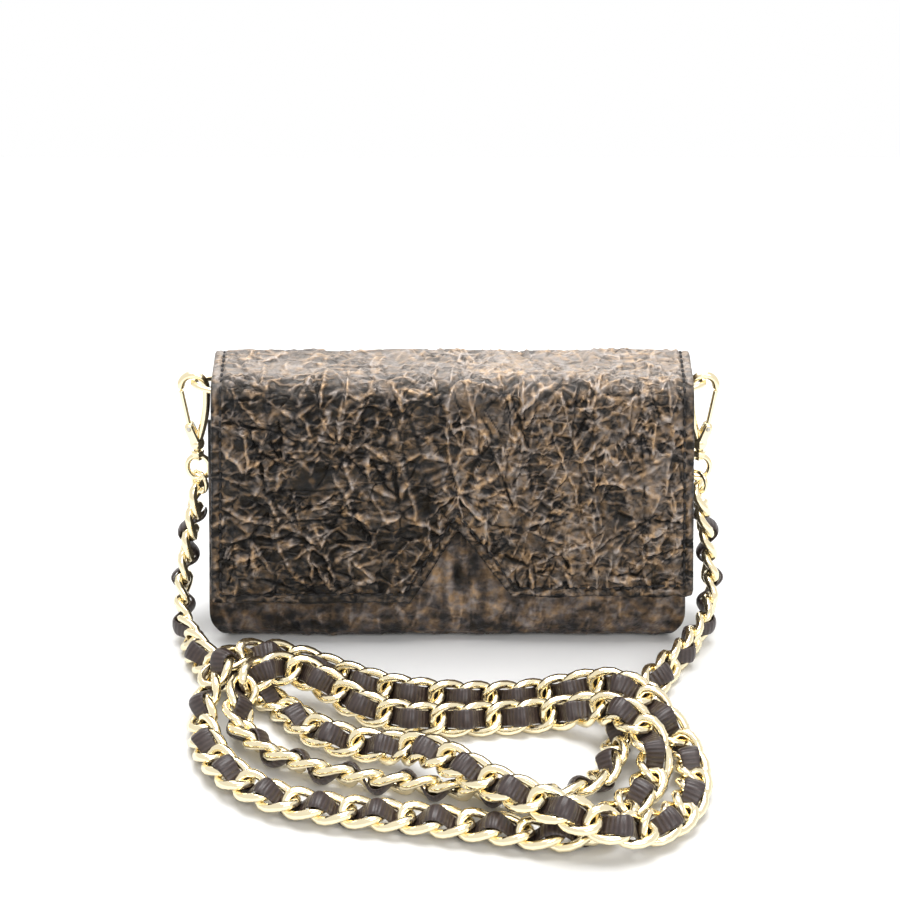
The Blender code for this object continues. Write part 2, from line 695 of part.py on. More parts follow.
def gate_pin(name, centre_x, side):
    """The pin through the hook's lug that the gate turns on."""
    pivot = gate_pivot(centre_x, side)
    reach = Vector((0.0, LUG_CHEEK + GATE_THICKNESS / 2 + GAP, 0.0))
    mesh = cylinder(name, pivot - reach, pivot + reach, PIN_DIAMETER / 2, WIRE_SIDES)
    return add_object(name, mesh, STEEL)


def swivel_eye(name, centre_x):
    """The oval eye that turns on the hook's stem."""
    rise = (EYE_HEIGHT - EYE_WIRE) / 2
    run = (EYE_WIDTH - EYE_WIRE) / 2
    path = [
        (centre_x + run * math.sin(turn), 0.0, EYE_CENTRE_Z + rise * math.cos(turn))
        for turn in np.linspace(0.0, 2 * math.pi, OVAL_STEPS + 1)[:-1]
    ]

    def at(z):
        return (centre_x, 0.0, z)

    ring = tube(name, path, EYE_WIRE / 2, FINE_SIDES, closed=True)
    boss_end = EYE_TOP_Z - EYE_BOSS_HEIGHT
    boss = cylinder("boss", at(EYE_TOP_Z), at(boss_end), EYE_BOSS_DIAMETER / 2, ROUND_SIDES)
    body = combine(ring, [boss], "UNION")
    bore_end = STEM_END_Z - GAP
    bore = cylinder("bore", at(HOOK_BASE_Z), at(bore_end), STEM_DIAMETER / 2 + GAP, WIRE_SIDES)
    room = cylinder("room", at(boss_end), at(bore_end), STEM_HEAD_DIAMETER / 2 + GAP, WIRE_SIDES)
    return add_object(name, combine(body, [bore, room], "DIFFERENCE"), GOLD)


def link_ring(name, centre_x):
    """The small round ring that joins the eye to the first link of the chain."""
    radius = (LINK_RING_DIAMETER - LINK_RING_WIRE) / 2
    eye_inside = EYE_CENTRE_Z - EYE_HEIGHT / 2 + EYE_WIRE
    centre_z = eye_inside + LINK_RING_CLEARANCE + LINK_RING_WIRE / 2 - radius
    path = []
    for turn in np.linspace(0.0, 2 * math.pi, OVAL_STEPS + 1)[:-1]:
        out = radius * math.sin(turn)
        x = centre_x + out * math.cos(LINK_RING_LEAN)
        path.append((x, out * math.sin(LINK_RING_LEAN), centre_z + radius * math.cos(turn)))
    return add_object(name, tube(name, path, LINK_RING_WIRE / 2, FINE_SIDES, closed=True), GOLD)


def natural_spline(knots, values, places):
    """Values at places on the natural cubic spline through given values at their knots."""
    count = len(knots)
    steps = np.diff(knots)
    system = np.eye(count)
    right = np.zeros((count, values.shape[1]))
    for i in range(1, count - 1):
        system[i, i - 1:i + 2] = (steps[i - 1], 2 * (steps[i - 1] + steps[i]), steps[i])
        ahead = (values[i + 1] - values[i]) / steps[i]
        behind = (values[i] - values[i - 1]) / steps[i - 1]
        right[i] = 6 * (ahead - behind)
    bends = np.linalg.solve(system, right)
    span = np.clip(np.searchsorted(knots, places) - 1, 0, count - 2)
    step = steps[span][:, None]
    before = (knots[span + 1] - places)[:, None]
    after = (places - knots[span])[:, None]
    curve = (bends[span] * before ** 3 + bends[span + 1] * after ** 3) / (6 * step)
    curve += (values[span] / step - bends[span] * step / 6) * before
    curve += (values[span + 1] / step - bends[span + 1] * step / 6) * after
    return curve


def strap_frame():
    """The strap's smooth line, with the directions across it and out of its face, by length."""
    places = np.array([row[:3] for row in STRAP_ROUTE]) * MM
    faces = np.array([row[3] for row in STRAP_ROUTE])
    steps = np.linalg.norm(np.diff(places, axis=0), axis=1)
    knots = np.concatenate([[0.0], np.cumsum(np.sqrt(steps))])
    fine = np.linspace(0.0, knots[-1], SPLINE_STEPS * len(places))
    line = natural_spline(knots, places, fine)
    length = np.concatenate([[0.0], np.cumsum(np.linalg.norm(np.diff(line, axis=0), axis=1))])
    face = np.stack([np.interp(fine, knots, faces[:, axis]) for axis in range(3)], axis=1)
    run = np.gradient(line, axis=0)
    run /= np.linalg.norm(run, axis=1)[:, None]
    face -= np.sum(face * run, axis=1)[:, None] * run
    face /= np.linalg.norm(face, axis=1)[:, None]
    across = np.cross(face, run)
    return length, line, across, face


def on_strap(frame, along, aside, above):
    """World points from places along the strap, across it and out of its face."""
    length, line, across, face = frame

    def read(table):
        return np.stack([np.interp(along, length, table[:, axis]) for axis in range(3)], axis=-1)

    sideways = read(across)
    outward = read(face)
    return read(line) + sideways * np.asarray(aside)[..., None] + outward * np.asarray(above)[..., None]


# A link is an octagon: its end and side bars lean, and its corner bars cross its neighbours'
LINK_TURNS = [
    quarter + turn
    for quarter in (0.0, math.pi / 2, math.pi, 3 * math.pi / 2)
    for turn in (LINK_CORNER_TURN, math.pi / 2 - LINK_CORNER_TURN)
]
GRIP_RISE = (LINK_WIRE - LINK_GRIP) / 2
FREE_RISE = (LINK_WIRE + LINK_FREE) / 2
LACE_RISE = FREE_RISE + LINK_WIRE / 2 + LACE_CLEARANCE + LACE_THICKNESS / 2


def link_corners():
    """The corners of one straight link, as places along, across and above the strap."""
    half = LINK_WIRE / 2
    corners = []
    for turn in LINK_TURNS:
        along = LINK_LENGTH / 2 * math.cos(turn)
        aside = LINK_WIDTH / 2 * math.sin(turn)
        rise = GRIP_RISE if aside > 0 else FREE_RISE
        above = -math.copysign(rise, math.sin(2 * turn))
        out = Vector((math.cos(turn) / LINK_LENGTH, math.sin(turn) / LINK_WIDTH)).normalized()
        for away, up in ((1, 0), (0, 1), (-1, 0), (0, -1)):
            corner = (along + away * half * out.x, aside + away * half * out.y, above + up * half)
            corners.append(corner)
    return np.array(corners)


def link_faces(offset):
    """The faces of a link's square wire, whose corners start at an offset."""
    count = len(LINK_TURNS)
    faces = []
    for i in range(count):
        j = (i + 1) % count
        for k in range(4):
            m = (k + 1) % 4
            faces.append((offset + 4 * i + k, offset + 4 * j + k, offset + 4 * j + m, offset + 4 * i + m))
    return faces


def link_centres(frame):
    """Where the middle of each link lies along the strap, so that the links fill it."""
    inset = (LINK_LENGTH + LINK_WIRE) / 2
    span = frame[0][-1] - inset * 2
    return inset + np.linspace(0.0, span, round(span / LINK_PITCH) + 1)


def strap_chain(frame):
    """The curb chain: every link grips the next at their two crossings, so they are one body."""
    corners = link_corners()
    centres = link_centres(frame)
    meshes = []
    for parity in (0, 1):
        points = []
        faces = []
        for centre in centres[parity::2]:
            along = corners[:, 0] + centre
            faces += link_faces(len(points))
            points += list(on_strap(frame, along, corners[:, 1], corners[:, 2]))
        meshes.append(mesh_from("strap_chain", points, faces))
    return add_object("strap_chain", combine(meshes[0], meshes[1:], "UNION"), GOLD)


def strap_lace(frame):
    """The flat lace, which goes over one crossing of the links and under the next."""
    centres = link_centres(frame)
    along = []
    above = []
    flat = LACE_FLAT_SHARE * LINK_PITCH / 2
    for i, middle in enumerate((centres[1:] + centres[:-1]) / 2):
        rise = LACE_RISE if i % 2 else -LACE_RISE
        along += [middle - flat, middle + flat]
        above += [rise, rise]
    path = np.stack([along, above], axis=1)
    sides = mitred_normals(path)
    half = LACE_THICKNESS / 2
    rings = []
    for edge, layer in ((-1, 1), (1, 1), (1, -1), (-1, -1)):
        aside = np.full(len(path), edge * LACE_WIDTH / 2)
        shifted = path + layer * half * sides
        rings.append(on_strap(frame, shifted[:, 0], aside, shifted[:, 1]))
    rings = np.stack(rings, axis=1)
    faces = []
    for i in range(len(path) - 1):
        for k in range(4):
            m = (k + 1) % 4
            faces.append((4 * i + k, 4 * i + 4 + k, 4 * i + 4 + m, 4 * i + m))
    last = 4 * (len(path) - 1)
    faces += [(0, 1, 2, 3), (last, last + 1, last + 2, last + 3)]
    mesh = mesh_from("strap_lace", rings.reshape(-1, 3), faces)
    return add_object("strap_lace", mesh, LACE_COLOUR)


def main():
    """Build the bag, its fittings and its strap."""
    clear_scene()
    front_panel()
    back_panel()
    body_lining()
    inner_pocket()
    gusset("gusset_left", -1)
    gusset("gusset_right", 1)
    flap()
    flap_lining()
    snap_discs()
    for label, side, hook_x in (("left", -1, HOOK_LEFT_X), ("right", 1, HOOK_RIGHT_X)):
        ring_tab("ring_tab_" + label, side)
        d_ring("d_ring_" + label, side, hook_x)
        hook_body("hook_body_" + label, hook_x, side)
        hook_gate("hook_gate_" + label, hook_x, side)
        gate_pin("gate_pin_" + label, hook_x, side)
        swivel_eye("swivel_eye_" + label, hook_x)
        link_ring("link_ring_" + label, hook_x)
    frame = strap_frame()
    strap_chain(frame)
    strap_lace(frame)


main()
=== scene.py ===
# %% [markdown]
# # A crumpled leather flap bag with a laced chain strap
#
# The bag stands on a white table with its strap lying in loose loops in front. The solids of the
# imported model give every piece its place. This file gives each of them the finer shape and the
# finish of the real thing: bronze-washed leather with sharp creases, round gold links, a leather
# lace.

import math

import bmesh
import bpy
import numpy as np
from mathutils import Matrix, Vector


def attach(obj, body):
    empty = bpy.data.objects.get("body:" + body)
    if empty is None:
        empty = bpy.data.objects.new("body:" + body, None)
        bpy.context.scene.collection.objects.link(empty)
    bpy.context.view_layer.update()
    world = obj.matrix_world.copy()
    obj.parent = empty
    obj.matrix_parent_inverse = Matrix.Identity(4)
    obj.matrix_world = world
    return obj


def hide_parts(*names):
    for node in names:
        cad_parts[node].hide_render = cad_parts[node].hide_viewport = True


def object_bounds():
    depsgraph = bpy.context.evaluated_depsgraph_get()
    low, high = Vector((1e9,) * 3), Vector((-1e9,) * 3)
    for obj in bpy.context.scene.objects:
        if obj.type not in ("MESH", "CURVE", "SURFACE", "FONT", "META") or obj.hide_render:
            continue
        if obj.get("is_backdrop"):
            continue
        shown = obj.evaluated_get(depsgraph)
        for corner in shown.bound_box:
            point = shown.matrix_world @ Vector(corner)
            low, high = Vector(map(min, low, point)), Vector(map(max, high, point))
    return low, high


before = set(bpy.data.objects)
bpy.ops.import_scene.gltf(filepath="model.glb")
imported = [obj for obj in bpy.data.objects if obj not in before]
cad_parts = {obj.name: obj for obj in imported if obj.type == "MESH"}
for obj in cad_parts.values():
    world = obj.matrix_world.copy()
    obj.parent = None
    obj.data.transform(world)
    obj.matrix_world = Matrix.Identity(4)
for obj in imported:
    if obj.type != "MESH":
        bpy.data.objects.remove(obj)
MM = 0.001
SIDES = ("left", "right")
OUT = {"left": -1.0, "right": 1.0}


def plain_box():
    """The two corners of everything that is shown, as plain lists of numbers."""
    return [[float(value) for value in corner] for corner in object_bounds()]


def print_span(label, box):
    """Print the two corners of a box in mm."""
    print(label, [[round(value / MM, 1) for value in corner] for corner in box])


def add_object(name, data):
    """A new object of the scene with its mesh, lens or lamp."""
    made = bpy.data.objects.new(name, data)
    bpy.context.collection.objects.link(made)
    return made


cad_box = plain_box()
print_span("solids span, mm:", cad_box)

# %% [markdown]
# ## The camera
#
# The photograph looks slightly down on the bag from the front, with a lens long enough to keep the
# sides of the bag nearly parallel. A 75 mm lens, 26 degrees down, gives the same corners.

# %% Camera
CAMERA_PLACE = (0.9 * MM, -572.0 * MM, 346.4 * MM)
CAMERA_TILT = math.radians(26.0)

lens = bpy.data.cameras.new("camera")
lens.lens = 75.0
lens.sensor_width = 36.0
camera = add_object("camera", lens)
camera.location = CAMERA_PLACE
camera.rotation_euler = (math.pi / 2 - CAMERA_TILT, 0.0, 0.0)
bpy.context.scene.camera = camera

# %% [markdown]
# ## From arrays to meshes
#
# Most pieces are one or more grids of points. A grid becomes a mesh by joining each point to its
# right and upper neighbour; a tube is a grid that closes on itself in one or both directions.

# %% Grids


def together(*parts):
    """Numbers and arrays side by side along a new last axis."""
    return np.stack(np.broadcast_arrays(*parts), axis=-1)


def grid_faces(rows, columns, start=0, wrap_rows=False, wrap_columns=False):
    """Quads of a grid whose points are numbered row by row from start."""
    row = np.arange(rows if wrap_rows else rows - 1)[:, None]
    column = np.arange(columns if wrap_columns else columns - 1)[None, :]
    up, right = (row + 1) % rows, (column + 1) % columns
    corners = ((row, column), (row, right), (up, right), (up, column))
    return together(*(i * columns + j for i, j in corners)).reshape(-1, 4) + start


def mesh_object(name, points, faces, finish):
    """A smooth object from an array of points and a list of faces, which are turned outward."""
    mesh = bpy.data.meshes.new(name)
    mesh.from_pydata(np.asarray(points).tolist(), [], [list(map(int, face)) for face in faces])
    mesh.validate()
    work = bmesh.new()
    work.from_mesh(mesh)
    bmesh.ops.recalc_face_normals(work, faces=work.faces)
    work.to_mesh(mesh)
    work.free()
    mesh.polygons.foreach_set("use_smooth", np.full(len(mesh.polygons), True))
    mesh.materials.append(finish)
    return add_object(name, mesh)


def paint(obj, name, values):
    """Store one number for each point of a mesh, for its material to read."""
    layer = obj.data.attributes.new(name, "FLOAT", "POINT")
    layer.data.foreach_set("value", np.asarray(values, dtype=np.float32))


# %% Lines


def unit(vectors):
    """Vectors divided by their lengths."""
    return vectors / np.linalg.norm(vectors, axis=-1, keepdims=True)


def lengths(points, power=1.0):
    """The sum of the steps up to each point of a line, with every step raised to a power."""
    steps = np.linalg.norm(np.diff(points, axis=0), axis=1) ** power
    return np.concatenate([[0.0], np.cumsum(steps)])


def read(table, knots, places):
    """Rows of a table at places between its knots."""
    return together(*(np.interp(places, knots, column) for column in np.transpose(table)))


def full_turn(count):
    """Angles that divide a full turn evenly."""
    return np.arange(count) * 2 * math.pi / count


def arc(across, up, radius, first, last, count):
    """Points of a plane on an arc about a centre, between two angles in degrees."""
    turn = np.radians(np.linspace(first, last, count))
    return together(across + radius * np.cos(turn), up + radius * np.sin(turn))


def natural_spline(knots, values, places):
    """The smooth curve through given values: between two knots it is a cubic whose bend runs
    straight from one knot's bend to the next, and the bends make the slopes meet."""
    count = len(knots)
    steps = np.diff(knots)
    system = np.eye(count)
    right = np.zeros((count, values.shape[1]))
    for i in range(1, count - 1):
        system[i, i - 1:i + 2] = (steps[i - 1], 2 * (steps[i - 1] + steps[i]), steps[i])
        right[i] = 6 * ((values[i + 1] - values[i]) / steps[i] - (values[i] - values[i - 1]) / steps[i - 1])
    bends = np.linalg.solve(system, right)
    span = np.clip(np.searchsorted(knots, places) - 1, 0, count - 2)
    step = steps[span][:, None]
    before, after = (knots[span + 1] - places)[:, None], (places - knots[span])[:, None]
    curve = (bends[span] * before ** 3 + bends[span + 1] * after ** 3) / (6 * step)
    curve += (values[span] / step - bends[span] * step / 6) * before
    return curve + (values[span + 1] / step - bends[span + 1] * step / 6) * after


def smooth_path(points, count):
    """A smooth curve through points of a plane or of space, with count points spread evenly."""
    points = np.asarray(points, float)
    knots = lengths(points, 0.5)
    fine = natural_spline(knots, points, np.linspace(0.0, knots[-1], 40 * len(points)))
    length = lengths(fine)
    return read(fine, length, np.linspace(0.0, length[-1], count))


# %% Tubes


def tube_grid(path, radii, sides, closed=False):
    """Rings of points round a path: centre + radius * (u cos a + w sin a).

    u and w are carried along the path without twist. radii is one number, or one for each point,
    and may hold pairs for an oval section.
    """
    path = np.asarray(path, float)
    if closed:
        run = unit(np.roll(path, -1, axis=0) - np.roll(path, 1, axis=0))
    else:
        run = unit(np.gradient(path, axis=0))
    start = np.array([0.0, 1.0, 0.0]) if abs(run[0][1]) < 0.8 else np.array([1.0, 0.0, 0.0])
    u = [unit(start - run[0] * (start @ run[0]))]
    for direction in run[1:]:
        u.append(unit(u[-1] - direction * (u[-1] @ direction)))
    u = np.array(u)
    w = np.cross(run, u)
    radii = np.broadcast_to(radii if np.ndim(radii) == 2 else together(radii, radii), (len(path), 2))
    turn = full_turn(sides)[:, None]
    ring = u[:, None] * (np.cos(turn) * radii[:, None, :1])
    ring = ring + w[:, None] * (np.sin(turn) * radii[:, None, 1:])
    return path[:, None] + ring


def rounded_ends(path, radius):
    """A path and radii whose two ends close like half balls."""
    path = np.asarray(path, float)
    turn = np.linspace(0.0, math.pi / 2, 5)[:-1]
    low = path[0] + unit(path[0] - path[1]) * (radius * np.cos(turn))[:, None]
    high = path[-1] + unit(path[-1] - path[-2]) * (radius * np.cos(turn[::-1]))[:, None]
    ends = radius * np.maximum(np.sin(turn), 0.02)
    points = np.concatenate([low, path, high])
    return points, np.concatenate([ends, np.full(len(path), radius), ends[::-1]])


def bar(points, radius, sides=14):
    """A tube through points, with rounded ends, as (grid, closed)."""
    return tube_grid(*rounded_ends(points, radius), sides), False


def loop(points, radius, sides):
    """A tube whose ends meet, as (grid, closed)."""
    return tube_grid(points, radius, sides, closed=True), True


def turned(profile, centre, axis="z", sides=24, closed=False):
    """A turned part as (grid, closed): centre + radius (cos a, sin a) across + height along its axis.

    The profile lists (radius, height) in mm from one end to the other.
    """
    radius, height = (np.asarray(profile, float) * MM).T[..., None]
    first, second = radius * np.cos(full_turn(sides)), radius * np.sin(full_turn(sides))
    places = (first, second, height) if axis == "z" else (first, height, second)
    return together(*places) + np.asarray(centre), closed


def tube_faces(rows, sides, start=0, closed=False):
    """Quads of a tube, with a flat face over each open end."""
    faces = list(grid_faces(rows, sides, start, wrap_rows=closed, wrap_columns=True))
    if not closed:
        first = np.arange(sides) + start
        faces += [first, first + (rows - 1) * sides]
    return faces


def joined_tubes(name, finish, *tubes):
    """One object from several tubes, each given as (grid, closed)."""
    points, faces = np.zeros((0, 3)), []
    for grid, closed in tubes:
        faces += tube_faces(*grid.shape[:2], len(points), closed)
        points = np.concatenate([points, grid.reshape(-1, 3)])
    return mesh_object(name, points, faces, finish)


# %% [markdown]
# ## Leather that was crumpled
#
# The leather was crushed by hand before it was cut, and a bronze wash was wiped over its crests
# while the hollows stayed almost black. Sculpting every fold would take days; a height worked out
# for each point takes seconds. A crushed sheet breaks into flat facets that meet in straight folds,
# and the folds meet in points. So the height is a set of random three-sided facets with a raised
# fold or a sunk crease along each edge, in three sizes, on places that a slow noise pushes about.

# %% Noise on a sheet


def lattice(seed, ix, iy, layer=0):
    """A repeatable random number from 0 to 1 for each whole pair (ix, iy)."""
    mixed = (ix * 73856093) ^ (iy * 19349663) ^ (seed * 83492791 + layer * 2654435)
    mixed = (mixed ^ (mixed >> 13)) * 1274126177 & 0x7FFFFFFF
    mixed = (mixed ^ (mixed >> 11)) * 668265263 & 0x7FFFFFFF
    return (mixed % 100003) / 100003.0


def in_cells(x, y, size):
    """Places in cells of a square lattice, and the whole numbers of their cells."""
    gx, gy = x / size, y / size
    return gx, gy, np.floor(gx).astype(np.int64), np.floor(gy).astype(np.int64)


def hills(x, y, size, seed):
    """Smooth noise of about -1 to 1: every corner of a square lattice has a random slope, and the
    four slopes round a place are eased into each other."""
    gx, gy, ix, iy = in_cells(x, y, size)
    fx, fy = gx - ix, gy - iy
    ex, ey = fx ** 3 * (fx * (fx * 6 - 15) + 10), fy ** 3 * (fy * (fy * 6 - 15) + 10)

    def slope(dx, dy):
        turn = lattice(seed, ix + dx, iy + dy) * 2 * math.pi
        return np.cos(turn) * (fx - dx) + np.sin(turn) * (fy - dy)

    low = slope(0, 0) * (1 - ex) + slope(1, 0) * ex
    high = slope(0, 1) * (1 - ex) + slope(1, 1) * ex
    return (low * (1 - ey) + high * ey) * 1.5


def twice_area(a, b, c):
    """Twice the area of the triangle from a over b to c, less than nothing if it turns clockwise."""
    return (b[0] - a[0]) * (c[1] - a[1]) - (b[1] - a[1]) * (c[0] - a[0])


def facets(x, y, size, width, seed):
    """Height of flat three-sided facets between scattered corners, and of the folds between them.

    The corners are a lattice whose points are moved at random, each with its own height. Inside a
    facet, height = u p + v q + w r with shares u, v, w of its three corners. Along each edge runs
    a raised fold (1 - (d / width)^2)^2 or a sunk crease, fading out towards the edge's two ends.
    """
    gx, gy, ix, iy = in_cells(x, y, size)
    plane, fold = np.zeros(gx.shape), np.zeros(gx.shape)

    def corner(i, j):
        px, py = i + 0.15 + 0.7 * lattice(seed, i, j, 1), j + 0.15 + 0.7 * lattice(seed, i, j, 2)
        return px, py, lattice(seed, i, j, 3) * 2 - 1, i * 7919 + j * 104729

    def edge(share, ends, near, far, area):
        away = share * np.abs(area) / np.hypot(near[0] - far[0], near[1] - far[1]) * size
        key = near[3] ^ far[3]
        chance = lattice(seed, key, key, 5) * 2 - 1
        strength = np.clip(np.abs(chance) * 1.5 - 0.45, 0.0, 1.0)
        rise = 1.1 * np.clip(1 - (away / width) ** 2, 0.0, 1.0) ** 2
        sink = -np.clip(1 - away / (0.7 * width), 0.0, 1.0) ** 1.3
        return strength * np.clip(6.4 * ends, 0.0, 1.0) * np.where(chance > 0, rise, sink)

    for dx in (-1, 0, 1):
        for dy in (-1, 0, 1):
            i, j = ix + dx, iy + dy
            a, b, c, d = corner(i, j), corner(i + 1, j), corner(i, j + 1), corner(i + 1, j + 1)
            for p, q, r in ((a, b, d), (a, d, c)):
                area = twice_area(p, q, r)
                u, v = twice_area((gx, gy), q, r) / area, twice_area((gx, gy), r, p) / area
                w = 1 - u - v
                inside = (u >= 0) & (v >= 0) & (w >= 0)
                plane = np.where(inside, u * p[2] + v * q[2] + w * r[2], plane)
                folds = edge(u, v * w, q, r, area) + edge(v, w * u, r, p, area) + edge(w, u * v, p, q, area)
                fold = np.where(inside, folds, fold)
    return plane, fold


# Each layer: facet size, stretch, turn, rise of the facets, rise and width of the folds, in mm
CRUMPLE_LAYERS = (
    (15.0, 1.5, 0.5, 0.85, 0.95, 1.05),
    (9.5, 1.9, 2.0, 0.5, 0.9, 0.9),
    (6.0, 1.8, 1.1, 0.3, 0.6, 0.8),
)
# Size and reach of the noises that push the places about, in mm
CRUMPLE_PUSHES = ((19.0, 2.2), (5.0, 0.8))


def crumple(x, y, seed):
    """Height of the crumple, about -1 to 1 mm, and of its folds alone, at places in mm.

    To the right of the middle the places are spread out, so the folds get finer there.
    """
    def push(first):
        return sum(far * hills(x, y, size, seed + first + k) for k, (size, far) in enumerate(CRUMPLE_PUSHES))

    bent_x = x + 0.5 * np.maximum(x, 0.0) + push(1)
    bent_y = y + push(3)
    height, crest = np.zeros(x.shape), np.zeros(x.shape)
    for k, (size, stretch, turn, rise, fold_rise, width) in enumerate(CRUMPLE_LAYERS):
        along = (bent_x * math.cos(turn) - bent_y * math.sin(turn)) / stretch + 31.7 * k
        aside = bent_x * math.sin(turn) + bent_y * math.cos(turn) - 12.3 * k
        plane, fold = facets(along, aside, size / math.sqrt(stretch), width, seed + 20 + k)
        bent_x, bent_y = bent_x + 0.5 * plane, bent_y + 0.9 * plane
        crest = crest + fold_rise * fold
        height = height + rise * plane
    return height + crest, crest


def soften(values, reach):
    """Mean over a square of grid points, taken twice, by differences of running sums."""
    for axis in (0, 1):
        for _ in range(2):
            pad = [(reach + 1, reach) if axis == a else (0, 0) for a in (0, 1)]
            total = np.cumsum(np.pad(values, pad, mode="edge"), axis=axis)
            count = values.shape[axis]
            high = np.take(total, np.arange(count) + 2 * reach + 1, axis=axis)
            low = np.take(total, np.arange(count), axis=axis)
            values = (high - low) / (2 * reach + 1)
    return values


def wiped_bronze(x, y, height, crest, reach, seed):
    """How much bronze shows, 0 to 1: more on folds and where a place stands over its surroundings.

    The upper flank of a fold, where the height grows with y, is painted lighter than the lower one:
    painted light and shade from above.
    """
    patches = 0.18 * hills(x, y, 13.0, seed + 40) + 0.09 * np.tanh(x / 18.0)
    step = np.gradient(y, axis=0)
    # Painted light and shade: the upper flank of each fold is lighter, the lower one darker.
    painted_flank_shade = np.clip(np.gradient(height, axis=0) / step, -1.2, 1.2)
    proud = height - soften(height, reach)
    return np.clip(0.40 + 0.42 * proud + 0.2 * crest + 0.2 * painted_flank_shade + patches, 0.0, 1.0)


# %% [markdown]
# ## Finishes
#
# Grain and fine bumps are the same kind of thing on every leather here, so they are one node group
# with its own size and depth for each material. Colours that do not change over a surface are set
# on the shader itself.

# %% Node helpers


def feed(tree, node, inputs):
    """Fill inputs of a node, each given by name or number: a socket is linked, a value is set."""
    for key, value in inputs.items():
        if isinstance(value, bpy.types.NodeSocket):
            tree.links.new(value, node.inputs[key])
        elif value is not None:
            node.inputs[key].default_value = value


def add_node(tree, kind, inputs=None, **settings):
    """A new shader node with its settings and inputs."""
    made = tree.nodes.new("ShaderNode" + kind)
    for name, value in settings.items():
        setattr(made, name, value)
    feed(tree, made, inputs or {})
    return made


def object_place(tree):
    """Places on the object, in metres."""
    return add_node(tree, "TexCoord").outputs["Object"]


def stored(tree, name):
    """The number that paint stored under a name."""
    return add_node(tree, "Attribute", attribute_name=name).outputs["Fac"]


def noise(tree, place, scale, detail):
    """Noise from 0 to 1."""
    inputs = {"Vector": place, "Scale": scale, "Detail": detail}
    return add_node(tree, "TexNoise", inputs).outputs["Fac"]


def cells(tree, place, scale):
    """Distance from the edges of random cells."""
    inputs = {"Vector": place, "Scale": scale}
    return add_node(tree, "TexVoronoi", inputs, feature="DISTANCE_TO_EDGE").outputs["Distance"]


def ranged(tree, value, old, new=(0.0, 1.0)):
    """A number moved from the range old to the range new, and held inside it."""
    inputs = {"Value": value, "From Min": old[0], "From Max": old[1], "To Min": new[0], "To Max": new[1]}
    return add_node(tree, "MapRange", inputs).outputs["Result"]


def reckoned(tree, operation, *values, **settings):
    """The result of a math node."""
    return add_node(tree, "Math", dict(enumerate(values)), operation=operation, **settings).outputs[0]


def sums(tree, *terms, start=0.0):
    """The sum of numbers, each given with its factor, on top of start."""
    total = start
    for value, factor in terms:
        total = reckoned(tree, "MULTIPLY_ADD", value, factor, total)
    return total


def mixed(tree, kind, share, first, second):
    """One colour mixed into another in the way that kind names."""
    inputs = {0: share, 6: first, 7: second}
    return add_node(tree, "Mix", inputs, data_type="RGBA", blend_type=kind).outputs[2]


def colour_ramp(tree, share, stops):
    """The colour at a share from 0 to 1 of the way through (place, colour) stops."""
    made = add_node(tree, "ValToRGB", {"Fac": share})
    elements = made.color_ramp.elements
    elements[0].position, elements[-1].position = 0.0, 1.0
    while len(elements) < len(stops):
        elements.new(0.5)
    for element, (place, colour) in zip(elements, stops):
        element.position = place
        element.color = (*colour, 1.0)
    return made.outputs["Color"]


def tones(tree, share, colour, stops):
    """A ramp through lighter and darker tones of one colour, from (place, factor) stops."""
    return colour_ramp(tree, share, [(place, [v * factor for v in colour]) for place, factor in stops])


def bumped(tree, height, depth, under=None):
    """The normal of a bump, laid over another normal if there is one."""
    inputs = {"Height": height, "Distance": depth, "Normal": under}
    return add_node(tree, "Bump", inputs).outputs["Normal"]


def new_finish(name, colour, roughness, metallic=0.0):
    """A material with one principled shader, given back with its node tree and shader."""
    made = bpy.data.materials.new(name)
    made.use_nodes = True
    made.diffuse_color = (*colour, 1.0)
    shader = made.node_tree.nodes["Principled BSDF"]
    values = {"Base Color": (*colour, 1.0), "Roughness": roughness, "Metallic": metallic}
    feed(made.node_tree, shader, values)
    return made, made.node_tree, shader


def new_group(name, *sockets):
    """A node group with sockets given as (name, kind, way), and its first and last node."""
    tree = bpy.data.node_groups.new(name, "ShaderNodeTree")
    for socket, kind, way in sockets:
        tree.interface.new_socket(socket, in_out=way, socket_type="NodeSocket" + kind)
    return tree, tree.nodes.new("NodeGroupInput"), tree.nodes.new("NodeGroupOutput")


# %% Leather grain


def grain_group():
    """Pores and fine wrinkles of leather: cells for pores, noise for wrinkles, as one height."""
    tree, entry, leave = new_group(
        "leather_grain", ("Vector", "Vector", "INPUT"), ("Pores per metre", "Float", "INPUT"),
        ("Height", "Float", "OUTPUT"), ("Mottle", "Float", "OUTPUT"),
    )
    place, pores = entry.outputs["Vector"], entry.outputs["Pores per metre"]
    wrinkles = noise(tree, place, sums(tree, (pores, 0.4)), 6.0)
    height = sums(tree, (cells(tree, place, pores), 1.0), start=wrinkles)
    feed(tree, leave, {"Height": height, "Mottle": wrinkles})
    return tree


GRAIN = grain_group()


def add_grain(tree, shader, pores, depth, under=None):
    """Bump a shader with the grain, over another normal if there is one, and give its mottle."""
    inputs = {"Vector": object_place(tree), "Pores per metre": pores}
    grain = add_node(tree, "Group", inputs, node_tree=GRAIN).outputs
    feed(tree, shader, {"Normal": bumped(tree, grain["Height"], depth, under)})
    return grain["Mottle"]


# %% Bronze-washed leather
# Each set of fine folds: turn, cells per metre, noise where it starts and where it is full, weight
FINE_FOLD_SETS = ((0.6, 195.0, 0.38, 0.54, 1.0), (2.1, 300.0, 0.44, 0.58, 0.7))
FINE_FOLD_PROFILE = (
    (0.0, 0.9), (0.05, 0.86), (0.13, 0.5), (0.2, 0.12), (0.26, 0.14), (0.42, 0.5), (1.0, 0.5),
)
FINE_FOLD_PUSH = 3.4 * MM


